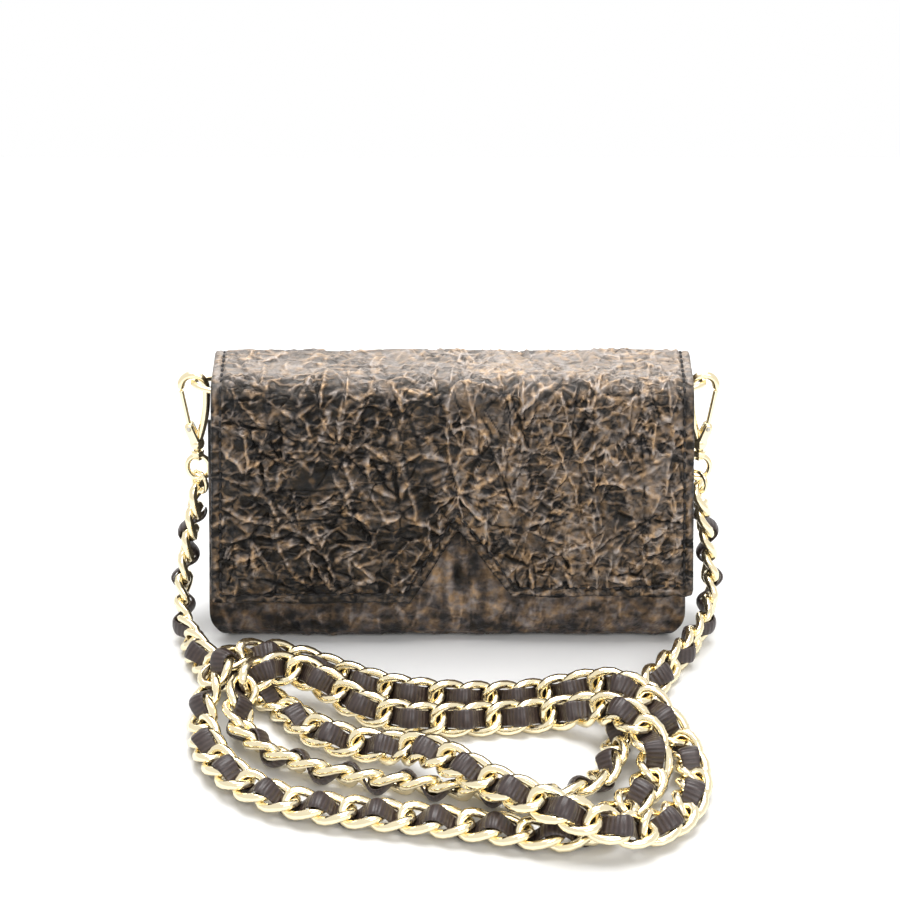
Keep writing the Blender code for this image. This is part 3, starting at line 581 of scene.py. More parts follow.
def fine_fold_group():
    """Folds too fine for the mesh, along the edges of two sets of stretched, warped cells.

    Across an edge the profile is a rounded ridge with a dark crease on both sides. A slow noise
    fades each set in and out. Height runs from -1 in a crease to 1 on a ridge.
    """
    tree, entry, leave = new_group("fine_folds", ("Vector", "Vector", "INPUT"), ("Height", "Float", "OUTPUT"))
    place = entry.outputs["Vector"]
    warp = add_node(tree, "TexNoise", {"Vector": place, "Scale": 240.0, "Detail": 2.0}).outputs["Color"]
    inputs = {0: warp, 1: (FINE_FOLD_PUSH,) * 3, 2: place}
    pushed = add_node(tree, "VectorMath", inputs, operation="MULTIPLY_ADD").outputs[0]
    terms = []
    for turn, per_metre, faint, full, weight in FINE_FOLD_SETS:
        inputs = {"Vector": pushed, "Rotation": (0.0, turn, 0.0), "Scale": (0.62, 1.0, 1.1)}
        stretched = add_node(tree, "Mapping", inputs).outputs[0]
        profile = tones(tree, cells(tree, stretched, per_metre), (1.0, 1.0, 1.0), FINE_FOLD_PROFILE)
        centred = sums(tree, (profile, 2.0), start=-1.0)
        amount = ranged(tree, noise(tree, stretched, per_metre * 0.5, 2.0), (faint, full))
        terms.append((reckoned(tree, "MULTIPLY", centred, amount), weight))
    feed(tree, leave, {"Height": sums(tree, *terms)})
    return tree


FINE_FOLDS = fine_fold_group()
# The last colour is the grey-white of a painted highlight on the flap's top.
COOL_CAST, WARM_CAST, PAINTED_SHEEN_COLOUR = (0.86, 0.98, 1.24), (1.16, 1.0, 0.76), (0.40, 0.36, 0.325, 1.0)


def bronze_leather(name, dark, mid, light, folding):
    """Crumpled leather: the stored bronze value, which also holds painted light and shade, the fine
    folds and the grain together move the colour from the dark hide through brown to the wiped bronze,
    and give it more sheen. A stored painted top sheen pales it towards grey-white, as a painted highlight."""
    made, tree, shader = new_finish(name, mid, 0.42)
    place = object_place(tree)
    fine = add_node(tree, "Group", {"Vector": place}, node_tree=FINE_FOLDS).outputs["Height"]
    mottle = add_grain(tree, shader, 1500.0, 0.12 * MM, bumped(tree, fine, 0.4 * folding * MM))
    # The stored bronze value holds painted light and shade as well as the wash.
    total = sums(tree, (mottle, 0.45), (stored(tree, "bronze"), 1.0), (fine, 0.26 * folding))
    wiped = ranged(tree, total, (0.22, 1.22))
    black = [v * 0.5 for v in dark]
    brown = [0.55 * a + 0.45 * b for a, b in zip(mid, light)]
    stops = ((0.0, black), (0.28, dark), (0.5, mid), (0.75, brown), (1.0, light))
    hues = colour_ramp(tree, noise(tree, place, 330.0, 3.0), ((0.38, COOL_CAST), (0.64, WARM_CAST)))
    tinted = mixed(tree, "MULTIPLY", 1.0, colour_ramp(tree, wiped, stops), hues)
    # Painted highlight: the stored top sheen pales the colour towards grey-white.
    painted_sheen_share = sums(tree, (stored(tree, "worn"), 0.33))
    feed(tree, shader, {
        "Base Color": mixed(tree, "MIX", painted_sheen_share, tinted, PAINTED_SHEEN_COLOUR),
        "Metallic": ranged(tree, wiped, (0.0, 1.0), (0.0, 0.45)),
        "Specular IOR Level": ranged(tree, wiped, (0.0, 1.0), (0.08, 0.7)),
    })
    return made


FLAP_FINISH = bronze_leather(
    "flap_leather", (0.021, 0.018, 0.015), (0.104, 0.074, 0.05), (0.46, 0.345, 0.243), folding=1.0,
)
BODY_FINISH = bronze_leather(
    "body_leather", (0.024, 0.02, 0.017), (0.102, 0.074, 0.055), (0.5, 0.375, 0.27), folding=0.3,
)

# %% Plain leathers, thread, lining and metals


def plain_leather(name, colour, roughness, pores, depth):
    """Smooth leather of one colour with fine grain."""
    made, tree, shader = new_finish(name, colour, roughness)
    mottle = add_grain(tree, shader, pores, depth)
    feed(tree, shader, {"Base Color": tones(tree, mottle, colour, ((0.3, 0.7), (0.7, 1.25)))})
    return made


def ribbed_leather(name, colour, roughness):
    """A strip pressed with fine ribs across it: height = sin(along), where along is stored.

    Its colour follows the ribs: partly real ribbing, partly painted sheen.
    """
    made, tree, shader = new_finish(name, colour, roughness)
    ribs = reckoned(tree, "SINE", stored(tree, "along"))
    mottle = add_grain(tree, shader, 1700.0, 0.05 * MM, bumped(tree, ribs, 0.05 * MM))
    # Painted sheen: lighter on each rib and darker between, over the real ribbing.
    grain_and_rib_sheen = sums(tree, (mottle, 0.8), (ribs, 0.22))
    feed(tree, shader, {"Base Color": tones(tree, grain_and_rib_sheen, colour, ((0.0, 0.55), (1.0, 1.5)))})
    return made


def polished_metal(name, colour, roughness):
    """Plated metal with very faint streaks of wear in its gloss."""
    made, tree, shader = new_finish(name, colour, roughness, 1.0)
    wear = noise(tree, object_place(tree), 420.0, 4.0)
    gloss = ranged(tree, wear, (0.35, 0.75), (roughness * 0.75, roughness * 1.5))
    feed(tree, shader, {"Roughness": gloss})
    return made


def woven_lining(name, colour):
    """Twill lining: slanting threads as bump and a slight change of colour."""
    made, tree, shader = new_finish(name, colour, 0.85)
    inputs = {"Vector": object_place(tree), "Scale": 380.0}
    weave = add_node(tree, "TexWave", inputs, bands_direction="DIAGONAL").outputs["Fac"]
    colours = tones(tree, weave, colour, ((0.0, 0.7), (1.0, 1.0)))
    feed(tree, shader, {"Base Color": colours, "Normal": bumped(tree, weave, 0.12 * MM)})
    return made


SIDE_FINISH = plain_leather("side_leather", (0.03, 0.024, 0.021), 0.42, 1300.0, 0.08 * MM)
LACE_FINISH = ribbed_leather("lace_leather", (0.055, 0.038, 0.035), 0.34)
THREAD_FINISH = plain_leather("thread", (0.012, 0.01, 0.01), 0.6, 4000.0, 0.03 * MM)
LINING_FINISH = woven_lining("lining_cloth", (0.11, 0.085, 0.06))
GOLD_FINISH = polished_metal("gold_plate", (1.0, 0.88, 0.6), 0.15)
PIN_FINISH = polished_metal("pin_steel", (0.6, 0.57, 0.52), 0.3)

# %% [markdown]
# ## The strap's line
#
# The strap is a flat chain, so it needs two things at each point: where it is, and which way its
# broad face looks. The route is the one the solid strap follows. A smooth spline runs through it.

# %% Route of the strap
OUT_LEFT, OUT_RIGHT, UP = (-1.0, 0.0, 0.0), (1.0, 0.0, 0.0), (0.0, 0.0, 1.0)
UP_FRONT, FRONT, BACK = (0.0, -0.6, 0.8), (0.0, -0.85, 0.53), (0.0, 0.75, 0.66)
RIGHT_FRONT, RIGHT_UP_FRONT, RIGHT_UP = (0.42, -0.75, 0.51), (0.72, -0.4, 0.57), (0.72, -0.05, 0.69)
RIGHT_UP_BACK, INWARD, FRONT_UP = (0.47, 0.45, 0.76), (-0.66, -0.11, 0.74), (0.0, -0.77, 0.64)
UP_NEAR, UP_LEFT_NEAR, UP_LEFT = (0.0, -0.4, 0.92), (-0.44, -0.22, 0.87), (-0.7, 0.0, 0.7)
UP_RIGHT, UP_FLAT = (0.6, 0.0, 0.8), (0.0, -0.2, 0.98)
STRAP_ROUTE = (
    (-84.8, 0.0, 55.6, OUT_LEFT),
    (-90.5, 1.1, 28.9, OUT_LEFT),
    (-92.6, -2.6, 14.8, OUT_LEFT),
    (-90.9, -13.8, 6.9, OUT_LEFT),
    (-80.7, -36.7, 5.7, UP_LEFT),
    (-68.8, -48.4, 4.9, UP),
    (-55.1, -59.8, 4.3, UP),
    (-39.6, -80.0, 7.3, UP_FRONT),
    (-20.0, -87.0, 6.8, UP_FRONT),
    (-4.8, -99.0, 13.5, UP_FRONT),
    (10.8, -115.1, 15.5, UP_FRONT),
    (33.6, -130.1, 14.9, UP_FRONT),
    (54.7, -130.6, 8.4, UP_FRONT),
    (69.1, -118.9, 5.2, UP_FRONT),
    (75.0, -104.0, 4.9, UP_FRONT),
    (74.2, -86.2, 5.1, UP_FRONT),
    (68.6, -75.7, 9.6, UP_FRONT),
    (61.7, -69.3, 14.3, UP_FRONT),
    (50.5, -61.6, 13.2, FRONT),
    (29.9, -57.0, 6.2, FRONT),
    (1.1, -58.0, 6.0, FRONT),
    (-24.5, -50.4, 5.5, FRONT),
    (-49.8, -36.8, 6.4, FRONT_UP),
    (-67.0, -42.3, 12.9, UP_NEAR),
    (-75.1, -52.0, 13.1, UP_LEFT_NEAR),
    (-78.4, -70.0, 6.1, UP_LEFT),
    (-70.0, -94.5, 5.7, UP_NEAR),
    (-50.2, -111.7, 5.4, UP_FLAT),
    (-13.9, -120.1, 5.1, UP_FLAT),
    (20.9, -127.3, 5.4, UP_FLAT),
    (37.8, -128.0, 5.3, UP_FLAT),
    (55.4, -112.9, 5.1, UP_FLAT),
    (63.2, -99.1, 6.2, UP_FRONT),
    (62.9, -89.4, 11.4, UP_FRONT),
    (54.2, -79.4, 15.0, UP_FRONT),
    (37.4, -68.8, 7.4, FRONT),
    (9.3, -70.0, 5.8, FRONT),
    (-23.8, -66.5, 6.7, FRONT),
    (-45.7, -52.0, 11.2, FRONT),
    (-58.3, -53.1, 13.6, RIGHT_FRONT),
    (-65.1, -60.0, 12.4, RIGHT_UP_FRONT),
    (-67.1, -68.6, 8.4, RIGHT_UP),
    (-61.7, -81.5, 6.0, RIGHT_UP_BACK),
    (-35.8, -98.7, 5.7, BACK),
    (-5.7, -105.1, 5.2, BACK),
    (27.8, -109.8, 5.2, BACK),
    (42.6, -105.6, 5.2, BACK),
    (49.9, -95.1, 5.5, INWARD),
    (54.1, -79.0, 5.1, INWARD),
    (64.4, -55.3, 6.0, UP_RIGHT),
    (79.0, -31.1, 5.9, OUT_RIGHT),
    (90.1, -10.5, 9.1, OUT_RIGHT),
    (91.9, 1.0, 22.1, OUT_RIGHT),
    (85.6, 0.0, 55.6, OUT_RIGHT),
)


def strap_directions():
    """Length so far, place, direction across and direction out of the face, all along the strap."""
    places = np.array([row[:3] for row in STRAP_ROUTE]) * MM
    knots = lengths(places, 0.5)
    fine = np.linspace(0.0, knots[-1], 60 * len(places))
    line = natural_spline(knots, places, fine)
    run = unit(np.gradient(line, axis=0))
    face = read([row[3] for row in STRAP_ROUTE], knots, fine)
    face = unit(face - np.sum(face * run, axis=1)[:, None] * run)
    return lengths(line), line, np.cross(face, run), face


STRAP = strap_directions()
STRAP_LENGTH = float(STRAP[0][-1])
print("strap length, mm:", round(STRAP_LENGTH / MM, 1))


def on_strap(along, aside, above):
    """Points of the world from places along the strap, across it and out of its face."""
    length, *tables = STRAP
    line, across, face = (read(table, length, along) for table in tables)
    return line + across * aside[..., None] + face * above[..., None]


# %% [markdown]
# ## Curb links and their lace
#
# A curb link is an oval of round wire, twisted so that it lies flat between its neighbours. Its
# centre line is a flat oval whose height rises and falls twice round. The lace is one flat strip
# that rides over one crossing of the links, dives through a link and passes under the next.

# %% Chain
LINK_HALF_LENGTH, LINK_HALF_WIDTH, LINK_PITCH = 6.2 * MM, 4.45 * MM, 8.88 * MM
LINK_WIRE = 2.9 * MM
LINK_TWIST = 1.47 * MM
LINK_STEPS, LINK_SIDES = 18, 8
END_GAP = LINK_HALF_LENGTH + 1.2 * MM
link_count = round((STRAP_LENGTH - 2 * END_GAP) / LINK_PITCH) + 1
link_centres = END_GAP + np.linspace(0.0, STRAP_LENGTH - 2 * END_GAP, link_count)


def chain():
    """All links as one mesh.

    Centre line: along = a cos t, aside = b sin t, above = -h sin 2t. The wire is a circle round it.
    """
    turn = full_turn(LINK_STEPS)
    oval = together(
        LINK_HALF_LENGTH * np.cos(turn), LINK_HALF_WIDTH * np.sin(turn), -LINK_TWIST * np.sin(2 * turn),
    )
    link = loop(oval, LINK_WIRE / 2, LINK_SIDES)[0].reshape(-1, 3)
    along = link_centres[:, None] + link[None, :, 0]
    aside, above = (np.broadcast_to(link[:, axis], along.shape) for axis in (1, 2))
    points = on_strap(along, aside, above).reshape(-1, 3)
    one = grid_faces(LINK_STEPS, LINK_SIDES, wrap_rows=True, wrap_columns=True)
    faces = (one[None] + (np.arange(link_count) * len(link))[:, None, None]).reshape(-1, 4)
    return mesh_object("chain_links", points, faces, GOLD_FINISH)


chain_links = chain()
print("links:", link_count, "triangles:", 2 * len(chain_links.data.polygons))

# %% Lace
LACE_SWING = 3.6 * MM
LACE_HALF_WIDTH, LACE_SPREAD = 2.7 * MM, 0.55 * MM
LACE_HALF_THICKNESS, LACE_CROWN = 0.45 * MM, 0.45 * MM
LACE_STEPS, LACE_SIDES = 12, 16
RIB_LENGTH = 0.16 * MM


def lace():
    """The woven strip.

    Its middle swings like a cosine whose crests lie over the crossings of the links. It spreads a
    little and crowns outward at each crest, where nothing holds it in. Its section is a flattened
    oval: aside = w cos a, above = t sin a.
    """
    crossings = (link_centres[1:] + link_centres[:-1]) / 2
    phase = np.linspace(0.0, len(crossings) - 1, (len(crossings) - 1) * LACE_STEPS + 1)
    along = np.interp(phase, np.arange(len(crossings)), crossings)
    wave = -np.cos(math.pi * phase)
    slope = np.gradient(LACE_SWING * wave, along)
    lean = unit(together(-slope, 1.0))
    loose = wave ** 2
    side, up = np.cos(full_turn(LACE_SIDES)), np.sin(full_turn(LACE_SIDES))
    flat_side = np.sign(side) * np.abs(side) ** 0.7
    flat_up = np.sign(up) * np.abs(up) ** 0.55
    aside = (LACE_HALF_WIDTH + LACE_SPREAD * loose)[:, None] * flat_side
    crown = LACE_CROWN * np.sign(wave) * loose
    rise = LACE_HALF_THICKNESS * flat_up + crown[:, None] * (1 - flat_side ** 2)
    reach = along[:, None] + rise * lean[:, :1]
    above = (LACE_SWING * wave)[:, None] + rise * lean[:, 1:]
    made = joined_tubes("chain_lace", LACE_FINISH, (on_strap(reach, aside, above), False))
    paint(made, "along", np.repeat(along / RIB_LENGTH, LACE_SIDES))
    return made


chain_lace = lace()

# %% [markdown]
# ## Hooks, rings and eyes
#
# The fittings are cast in gold-plated zinc: round bars that run into each other with small collars.
# Bars are tubes along smooth paths; collars, balls and discs are turned profiles.

# %% Measures of the fittings
HOOK_X = {"left": -84.772 * MM, "right": 85.572 * MM}
ARCH_Z, SHOULDER_Z, PIVOT_Z, HOOK_BASE_Z = 95.25 * MM, 90.85 * MM, 76.05 * MM, 70.25 * MM
ARCH_END = math.radians(5.0)
ARCH_END_Z = SHOULDER_Z + (ARCH_Z - SHOULDER_Z) * math.sin(ARCH_END)
HOOK_HALF, HOOK_WIRE = 4.2 * MM, 2.6 * MM
PIVOT_OUT = 0.52 * HOOK_HALF
LEG_FOOT_OUT, LEG_TOP_OUT, LEG_TOP_Z = 0.3 * MM, 0.93 * HOOK_HALF, 84.5 * MM
CHEEK_OUT, CHEEK_HALF, CHEEK_FLATNESS = 1.75 * MM, 1.55 * MM, 0.34
GATE_WIRE, GATE_GAP, GATE_REACH = 1.7 * MM, 0.3 * MM, 0.955
EYE_TOP_Z, EYE_CENTRE_Z, EYE_HALF, EYE_HALF_HEIGHT = 67.45 * MM, 61.05 * MM, 3.85 * MM, 4.35 * MM
LINK_RING_Z, LINK_RING_RADIUS, LINK_RING_WIRE = 55.45 * MM, 3.7 * MM, 1.5 * MM
LINK_RING_LEAN = math.radians(-45.0)
RING_BAR_X, RING_BAR_Z, RING_HALF, RING_LIFT = 76.572 * MM, 91.4 * MM, 5.0 * MM, 1.3 * MM
RING_WIRE = 1.9 * MM

# Turned profiles, as (radius, height) in mm
BALL = (
    (0.05, -2.5), (1.2, -2.42), (1.75, -2.1), (2.35, -1.35), (2.55, -0.4), (2.55, 0.3),
    (2.2, 1.3), (1.5, 2.0), (0.6, 2.4), (0.05, 2.5),
)
STEM = (
    (0.05, -6.3), (1.3, -6.3), (1.5, -6.1), (1.5, -5.5), (1.3, -5.3), (0.9, -5.2), (0.9, -2.2), (0.05, -2.2),
)
GATE_EYE = ((0.05, -0.93), (1.5, -0.93), (1.68, -0.75), (1.68, 0.75), (1.5, 0.93), (0.05, 0.93))
PIN = (
    (0.05, -2.45), (0.5, -2.4), (0.75, -2.3), (0.5, -2.2), (0.5, 2.2), (0.75, 2.3), (0.5, 2.4), (0.05, 2.45),
)
BOSS = (
    (1.2, 0.0), (1.9, -0.05), (2.2, -0.35), (2.2, -0.85), (1.85, -1.1), (2.1, -1.4), (2.1, -1.9),
    (1.7, -2.2), (1.5, -2.2), (1.2, -1.8), (1.2, -0.4),
)
DISC = ((0.05, 0.1), (4.6, 0.1), (4.9, 0.0), (6.7, 0.0), (6.95, 0.2), (7.0, 0.5), (6.8, 0.8), (0.05, 0.8))

# %% Hooks


def at_hook(side, out, y, z):
    """Points at distances outward from the middle of a hook, and at y and z."""
    return together(HOOK_X[side] + OUT[side] * out, y, z)


def pivot_of(side):
    """Where the gate's pin crosses the middle of the hook."""
    return at_hook(side, PIVOT_OUT, 0.0, PIVOT_Z)


def hook(side):
    """A snap hook's fixed part: leg and arch as one bar, two cheeks, ball, stem and head."""
    turn = np.linspace(math.pi - ARCH_END, ARCH_END, 15)
    arch = together(HOOK_HALF * np.cos(turn), SHOULDER_Z + (ARCH_Z - SHOULDER_Z) * np.sin(turn))
    leg = [(-LEG_FOOT_OUT, HOOK_BASE_Z), (-PIVOT_OUT, PIVOT_Z), (-LEG_TOP_OUT, LEG_TOP_Z)]
    flat = np.concatenate([smooth_path(np.concatenate([leg, arch[:4]]), 22)[:-1], arch[3:]])
    foot = at_hook(side, 0.0, 0.0, HOOK_BASE_Z)
    parts = [bar(at_hook(side, flat[:, 0], 0.0, flat[:, 1]), HOOK_WIRE / 2, 16)]
    for cheek in (-CHEEK_OUT, CHEEK_OUT):
        line = foot + (0.0, cheek, 0.0) + (pivot_of(side) - foot) * np.linspace(-0.1, 1.0, 9)[:, None]
        ends, radii = rounded_ends(line, CHEEK_HALF)
        parts.append((tube_grid(ends, together(radii * CHEEK_FLATNESS, radii), 14), False))
    parts += [turned(BALL, foot), turned(STEM, foot, sides=16)]
    return joined_tubes("hook_" + side, GOLD_FINISH, *parts)


def gate(side):
    """The sprung gate: a straight bar with a flat eye at its foot."""
    pivot = pivot_of(side)
    tip = at_hook(side, HOOK_HALF * math.cos(ARCH_END), 0.0, ARCH_END_Z - HOOK_WIRE / 2 - GATE_GAP)
    line = pivot + (tip - pivot) * np.linspace(0.0, GATE_REACH, 10)[:, None]
    flat_eye = turned(GATE_EYE, pivot, "y", 20)
    return joined_tubes("gate_" + side, GOLD_FINISH, bar(line, GATE_WIRE / 2), flat_eye)


def pin(side):
    """The gate's pin, with domed ends."""
    return joined_tubes("pin_" + side, PIN_FINISH, turned(PIN, pivot_of(side), "y", 14))


# %% Eyes and rings


def eye(side):
    """The swivel's oval eye under its turned boss."""
    turn = full_turn(36)
    x, z = HOOK_X[side] + EYE_HALF * np.sin(turn), EYE_CENTRE_Z + EYE_HALF_HEIGHT * np.cos(turn)
    boss = turned(BOSS, at_hook(side, 0.0, 0.0, EYE_TOP_Z), closed=True)
    return joined_tubes("eye_" + side, GOLD_FINISH, loop(together(x, 0.0, z), RING_WIRE / 2, 12), boss)


def link_ring(side):
    """The small round ring between the eye and the first link, turned half a right angle."""
    turn = full_turn(32)
    out, z = LINK_RING_RADIUS * np.sin(turn), LINK_RING_Z + LINK_RING_RADIUS * np.cos(turn)
    x, y = HOOK_X[side] + out * math.cos(LINK_RING_LEAN), out * math.sin(LINK_RING_LEAN)
    wire = loop(together(x, y, z), LINK_RING_WIRE / 2, 12)
    return joined_tubes("small_ring_" + side, GOLD_FINISH, wire)


def d_ring(side):
    """The D ring: bar and bow as one closed wire whose corners are eased."""
    reach = abs(HOOK_X[side]) - RING_BAR_X
    turn = np.linspace(0.0, math.pi, 25)
    bow = together(reach * np.sin(turn), RING_HALF * np.cos(turn))
    straight = together(0.0, np.linspace(-RING_HALF, RING_HALF, 10)[1:-1])
    out, y = np.concatenate([straight, bow]).T
    path = together(OUT[side] * (RING_BAR_X + out), y, RING_BAR_Z + RING_LIFT * out / reach)
    return joined_tubes("ring_" + side, GOLD_FINISH, loop(path, RING_WIRE / 2, 14))


fittings = {}
for side in SIDES:
    fittings[side] = hook(side), gate(side), pin(side), eye(side), link_ring(side), d_ring(side)

# %% Snap discs
SNAP_X, SNAP_Z = 3.6 * MM, 62.0 * MM


def disc(name, y):
    """One half of the closure, a disc that lies flat against the front."""
    return joined_tubes(name, GOLD_FINISH, turned(DISC, (SNAP_X, y, SNAP_Z), "y", 40))


snap_base = disc("snap_base_disc", -13.7 * MM)
snap_cap = disc("snap_cap_disc", -14.8 * MM)

# %% [markdown]
# ## Sheets of leather
#
# A sheet is a dense grid on its outer side, where the creases are, and a coarse grid on its inner
# side. Faces round the rim join every few outer points to one inner step, so that the sheet is a
# closed body and its thickness shows along the cut edge.
#
# A layout says where a sheet runs. It holds four arrays: places across the bag, lengths along the
# side view, and the place and the outward normal (y, z) in that view, all in mm.

# %% Shells
INNER_STEP = 4
CLOTH = 0.7


def shell(name, outer, inner, step, finish):
    """A closed sheet from its outer grid and every step-th point of its inner grid."""
    rows, columns = outer.shape[:2]
    inner = inner[::step, ::step]
    low_rows, low_columns = inner.shape[:2]
    start = rows * columns
    faces = grid_faces(rows, columns)[:, ::-1].tolist()
    faces += grid_faces(low_rows, low_columns, start).tolist()
    dense = np.arange(start).reshape(rows, columns)
    coarse = start + np.arange(low_rows * low_columns).reshape(low_rows, low_columns)
    rims = (
        (dense[0], coarse[0]), (dense[:, -1], coarse[:, -1]),
        (dense[-1, ::-1], coarse[-1, ::-1]), (dense[::-1, 0], coarse[::-1, 0]),
    )
    for fine, wide in rims:
        for k in range(len(wide) - 1):
            faces.append([*fine[k * step:(k + 1) * step + 1], wide[k + 1], wide[k]])
    points = np.concatenate([outer.reshape(-1, 3), inner.reshape(-1, 3)])
    return mesh_object(name, points, faces, finish)


def sheet(name, finish, layout, face, back, step=1):
    """A closed sheet over a layout, from the heights of its two faces in mm, above the table."""
    across, _, place, normal = layout
    outer, inner = (in_space(across, place, normal, height) * MM for height in (face, back))
    outer[..., 2] = np.maximum(outer[..., 2], 0.0)
    return shell(name, outer, inner, step, finish)


def leather(name, finish, layout, face, thickness, **painted):
    """A sheet with a dense outer and a coarse inner grid, and with values stored for its points."""
    made = sheet(name, finish, layout, face, -thickness, INNER_STEP)
    for key, values in painted.items():
        paint(made, key, np.concatenate([values.ravel(), values[::INNER_STEP, ::INNER_STEP].ravel()]))
    return made


def profile_at(path, length):
    """Places on a side view (y, z) at lengths along it, and the outward normals there."""
    path = np.asarray(path, float)
    so_far = lengths(path)
    tangent = unit(read(unit(np.gradient(path, axis=0)), so_far, length))
    return read(path, so_far, length), together(tangent[..., 1], -tangent[..., 0])


def in_space(x, place, normal, height):
    """Points from a place across the bag, a side-view place and a height along its normal."""
    y = place[..., 0] + normal[..., 0] * height
    z = place[..., 1] + normal[..., 1] * height
    return together(x, y, z)


def bell(values, width):
    """exp(-(v / width)^2): 1 in the middle of a feature, fading out on both sides."""
    return np.exp(-(values / width) ** 2)


def edge_fall(distance, radius):
    """How far a rounded edge falls below the face: radius - sqrt(radius^2 - (radius - d)^2)."""
    near = np.clip(1 - distance / radius, 0.0, 1.0)
    return radius * (1 - np.sqrt(1 - near * near))


# %% [markdown]
# ## The flap
#
# The flap rolls from the back over the top and hangs down the front to an edge with a notch like an
# upturned V. Its rows follow the side view, and its lower rows are stretched so that the last one
# lies on the notched edge. The crumple, the seam's groove and the rounded rim are heights on it.

# %% Side view and outline of the flap
BAG_HEIGHT, BAG_DEPTH = 98.8, 35.0
FLAP_SHIFT, FLAP_HALF_TOP, FLAP_HALF_BACK, FLAP_HALF_FOOT = 1.7, 78.4, 80.4, 82.6
NOTCH_X, NOTCH_Z, BESIDE_X = (-12.8, 3.6, 21.8), (17.5, 46.0, 20.0), 90.0
FLAP_LEATHER, SEAM_IN, FLAP_SEED = 1.4, 3.2, 41
FACE_Y, FACE_TOP_Z, BEND_RADIUS = -16.8, 92.1, 6.0
FLAP_TOP = ((16.7, 95.0), (14.2, 96.3), (11.7, 97.3), (8.7, 97.85), (5.7, 98.1), (-2.0, 98.1), (-9.0, 98.1))

bend = arc(FACE_Y + BEND_RADIUS, FACE_TOP_Z, BEND_RADIUS, 90.0, 180.0, 25)
flap_side = np.concatenate([FLAP_TOP, bend, together(FACE_Y, FACE_TOP_Z - np.linspace(1.0, 80.0, 60))])
BEND_END = float(lengths(np.concatenate([FLAP_TOP, bend]))[-1])


def flap_half(y, z):
    """Half the width of the flap in mm, from the side-view place."""
    along = np.clip((y + BAG_DEPTH / 2) / BAG_DEPTH, 0.0, 1.0)
    over = FLAP_HALF_TOP + (FLAP_HALF_BACK - FLAP_HALF_TOP) * along
    fall = np.maximum(0.0, (BAG_HEIGHT - z) / (BAG_HEIGHT - NOTCH_Z[0]))
    return over + (FLAP_HALF_FOOT - FLAP_HALF_TOP) * fall


def flap_foot(x, margin=0.0):
    """Height of the flap's lower edge at x, with a small wave and eased outer corners."""
    lift = margin * (NOTCH_Z[1] - NOTCH_Z[0]) / (NOTCH_X[1] - NOTCH_X[0])
    xs = (NOTCH_X[0] - margin, NOTCH_X[1], NOTCH_X[2] + margin)
    foot = np.interp(x, xs, (NOTCH_Z[0] + margin, NOTCH_Z[1] + lift, NOTCH_Z[2] + margin))
    away = FLAP_HALF_FOOT - margin - np.abs(x - FLAP_SHIFT)
    wave = 0.35 * np.sin(x / 9.0) * np.sin(x / 23.0 + 1) + 0.3 * hills(x, 0 * x, 5.0, 7)
    return foot + edge_fall(np.maximum(away, 0.0), 2.5) + wave


def flap_sheet(depth, margin, first, counts):
    """Across, length along, place and normal of a layer of the flap, in mm.

    counts gives the steps over the top, down the front, and across each of the four spans
    between the outer edges and the notch's corners.
    """
    over, down, *spans = counts
    marks = [-1.0]
    for x in (NOTCH_X[0] - margin, NOTCH_X[1], NOTCH_X[2] + margin):
        marks.append((x - FLAP_SHIFT) / (FLAP_HALF_FOOT - margin))
    marks.append(1.0)
    spread = [np.linspace(a, b, n + 1)[:-1] for a, b, n in zip(marks, marks[1:], spans)]
    shares = np.concatenate([*spread, [1.0]])
    foot = flap_foot(FLAP_SHIFT + shares * (FLAP_HALF_FOOT - margin), margin)
    top = np.linspace(first, BEND_END, over + 1)[:-1]
    fall = np.linspace(0.0, 1.0, down + 1)
    length = np.concatenate([
        np.broadcast_to(top[:, None], (over, len(shares))),
        BEND_END + fall[:, None] * (FACE_TOP_Z - foot)[None, :],
    ])
    place, normal = profile_at(flap_side, length)
    place = place + normal * depth
    x = FLAP_SHIFT + shares[None, :] * (flap_half(place[..., 0], place[..., 1]) - margin)
    return x, length, place, normal


def on_face(z):
    """Length along the flap at a height on its straight front, or the height at a length."""
    return BEND_END + FACE_TOP_Z - z


def to_segment(x, z, start, end):
    """Distance from places to a straight segment."""
    dx, dz = end[0] - start[0], end[1] - start[1]
    share = np.clip(((x - start[0]) * dx + (z - start[1]) * dz) / (dx * dx + dz * dz), 0.0, 1.0)
    return np.hypot(x - start[0] - share * dx, z - start[1] - share * dz)


def flap_margin(x, length):
    """Distance from the flap's side and lower edges, in mm, at places on the sheet."""
    place = profile_at(flap_side, length)[0]
    margin = flap_half(place[..., 0], place[..., 1]) - np.abs(x - FLAP_SHIFT)
    corners = [(-BESIDE_X, NOTCH_Z[0]), *zip(NOTCH_X, NOTCH_Z), (BESIDE_X, NOTCH_Z[2])]
    for start, end in zip(corners, corners[1:]):
        margin = np.minimum(margin, to_segment(x, on_face(length), start, end))
    return margin


def flap_height(x, length, height):
    """Height of the flap's face over its middle layer at places in mm: crumple, the seam's groove,
    the puffed rim, the swell behind the top and the rounded edge."""
    margin = flap_margin(x, length)
    inside = np.clip((margin - SEAM_IN + 0.4) / 1.6, 0.0, 1.0)
    relief = height * (0.4 + 0.85 * inside) * np.interp(length, (0.0, 3.0, 16.0, 34.0), (0.1, 0.4, 0.4, 1.0))
    groove, puff = bell(margin - SEAM_IN, 0.6), bell(margin - 1.7, 1.3)
    swell = bell(length - 4.0, 6.0) * (1 - 0.6 * (np.abs(x) / 82.0) ** 6)
    swell = swell * np.clip((length - 1.0) / 3.0, 0.0, 1.0)
    face = FLAP_LEATHER / 2 + relief - 0.55 * groove + 0.12 * puff + 1.2 * swell
    return np.maximum(face, -0.3) - edge_fall(margin, 0.7)


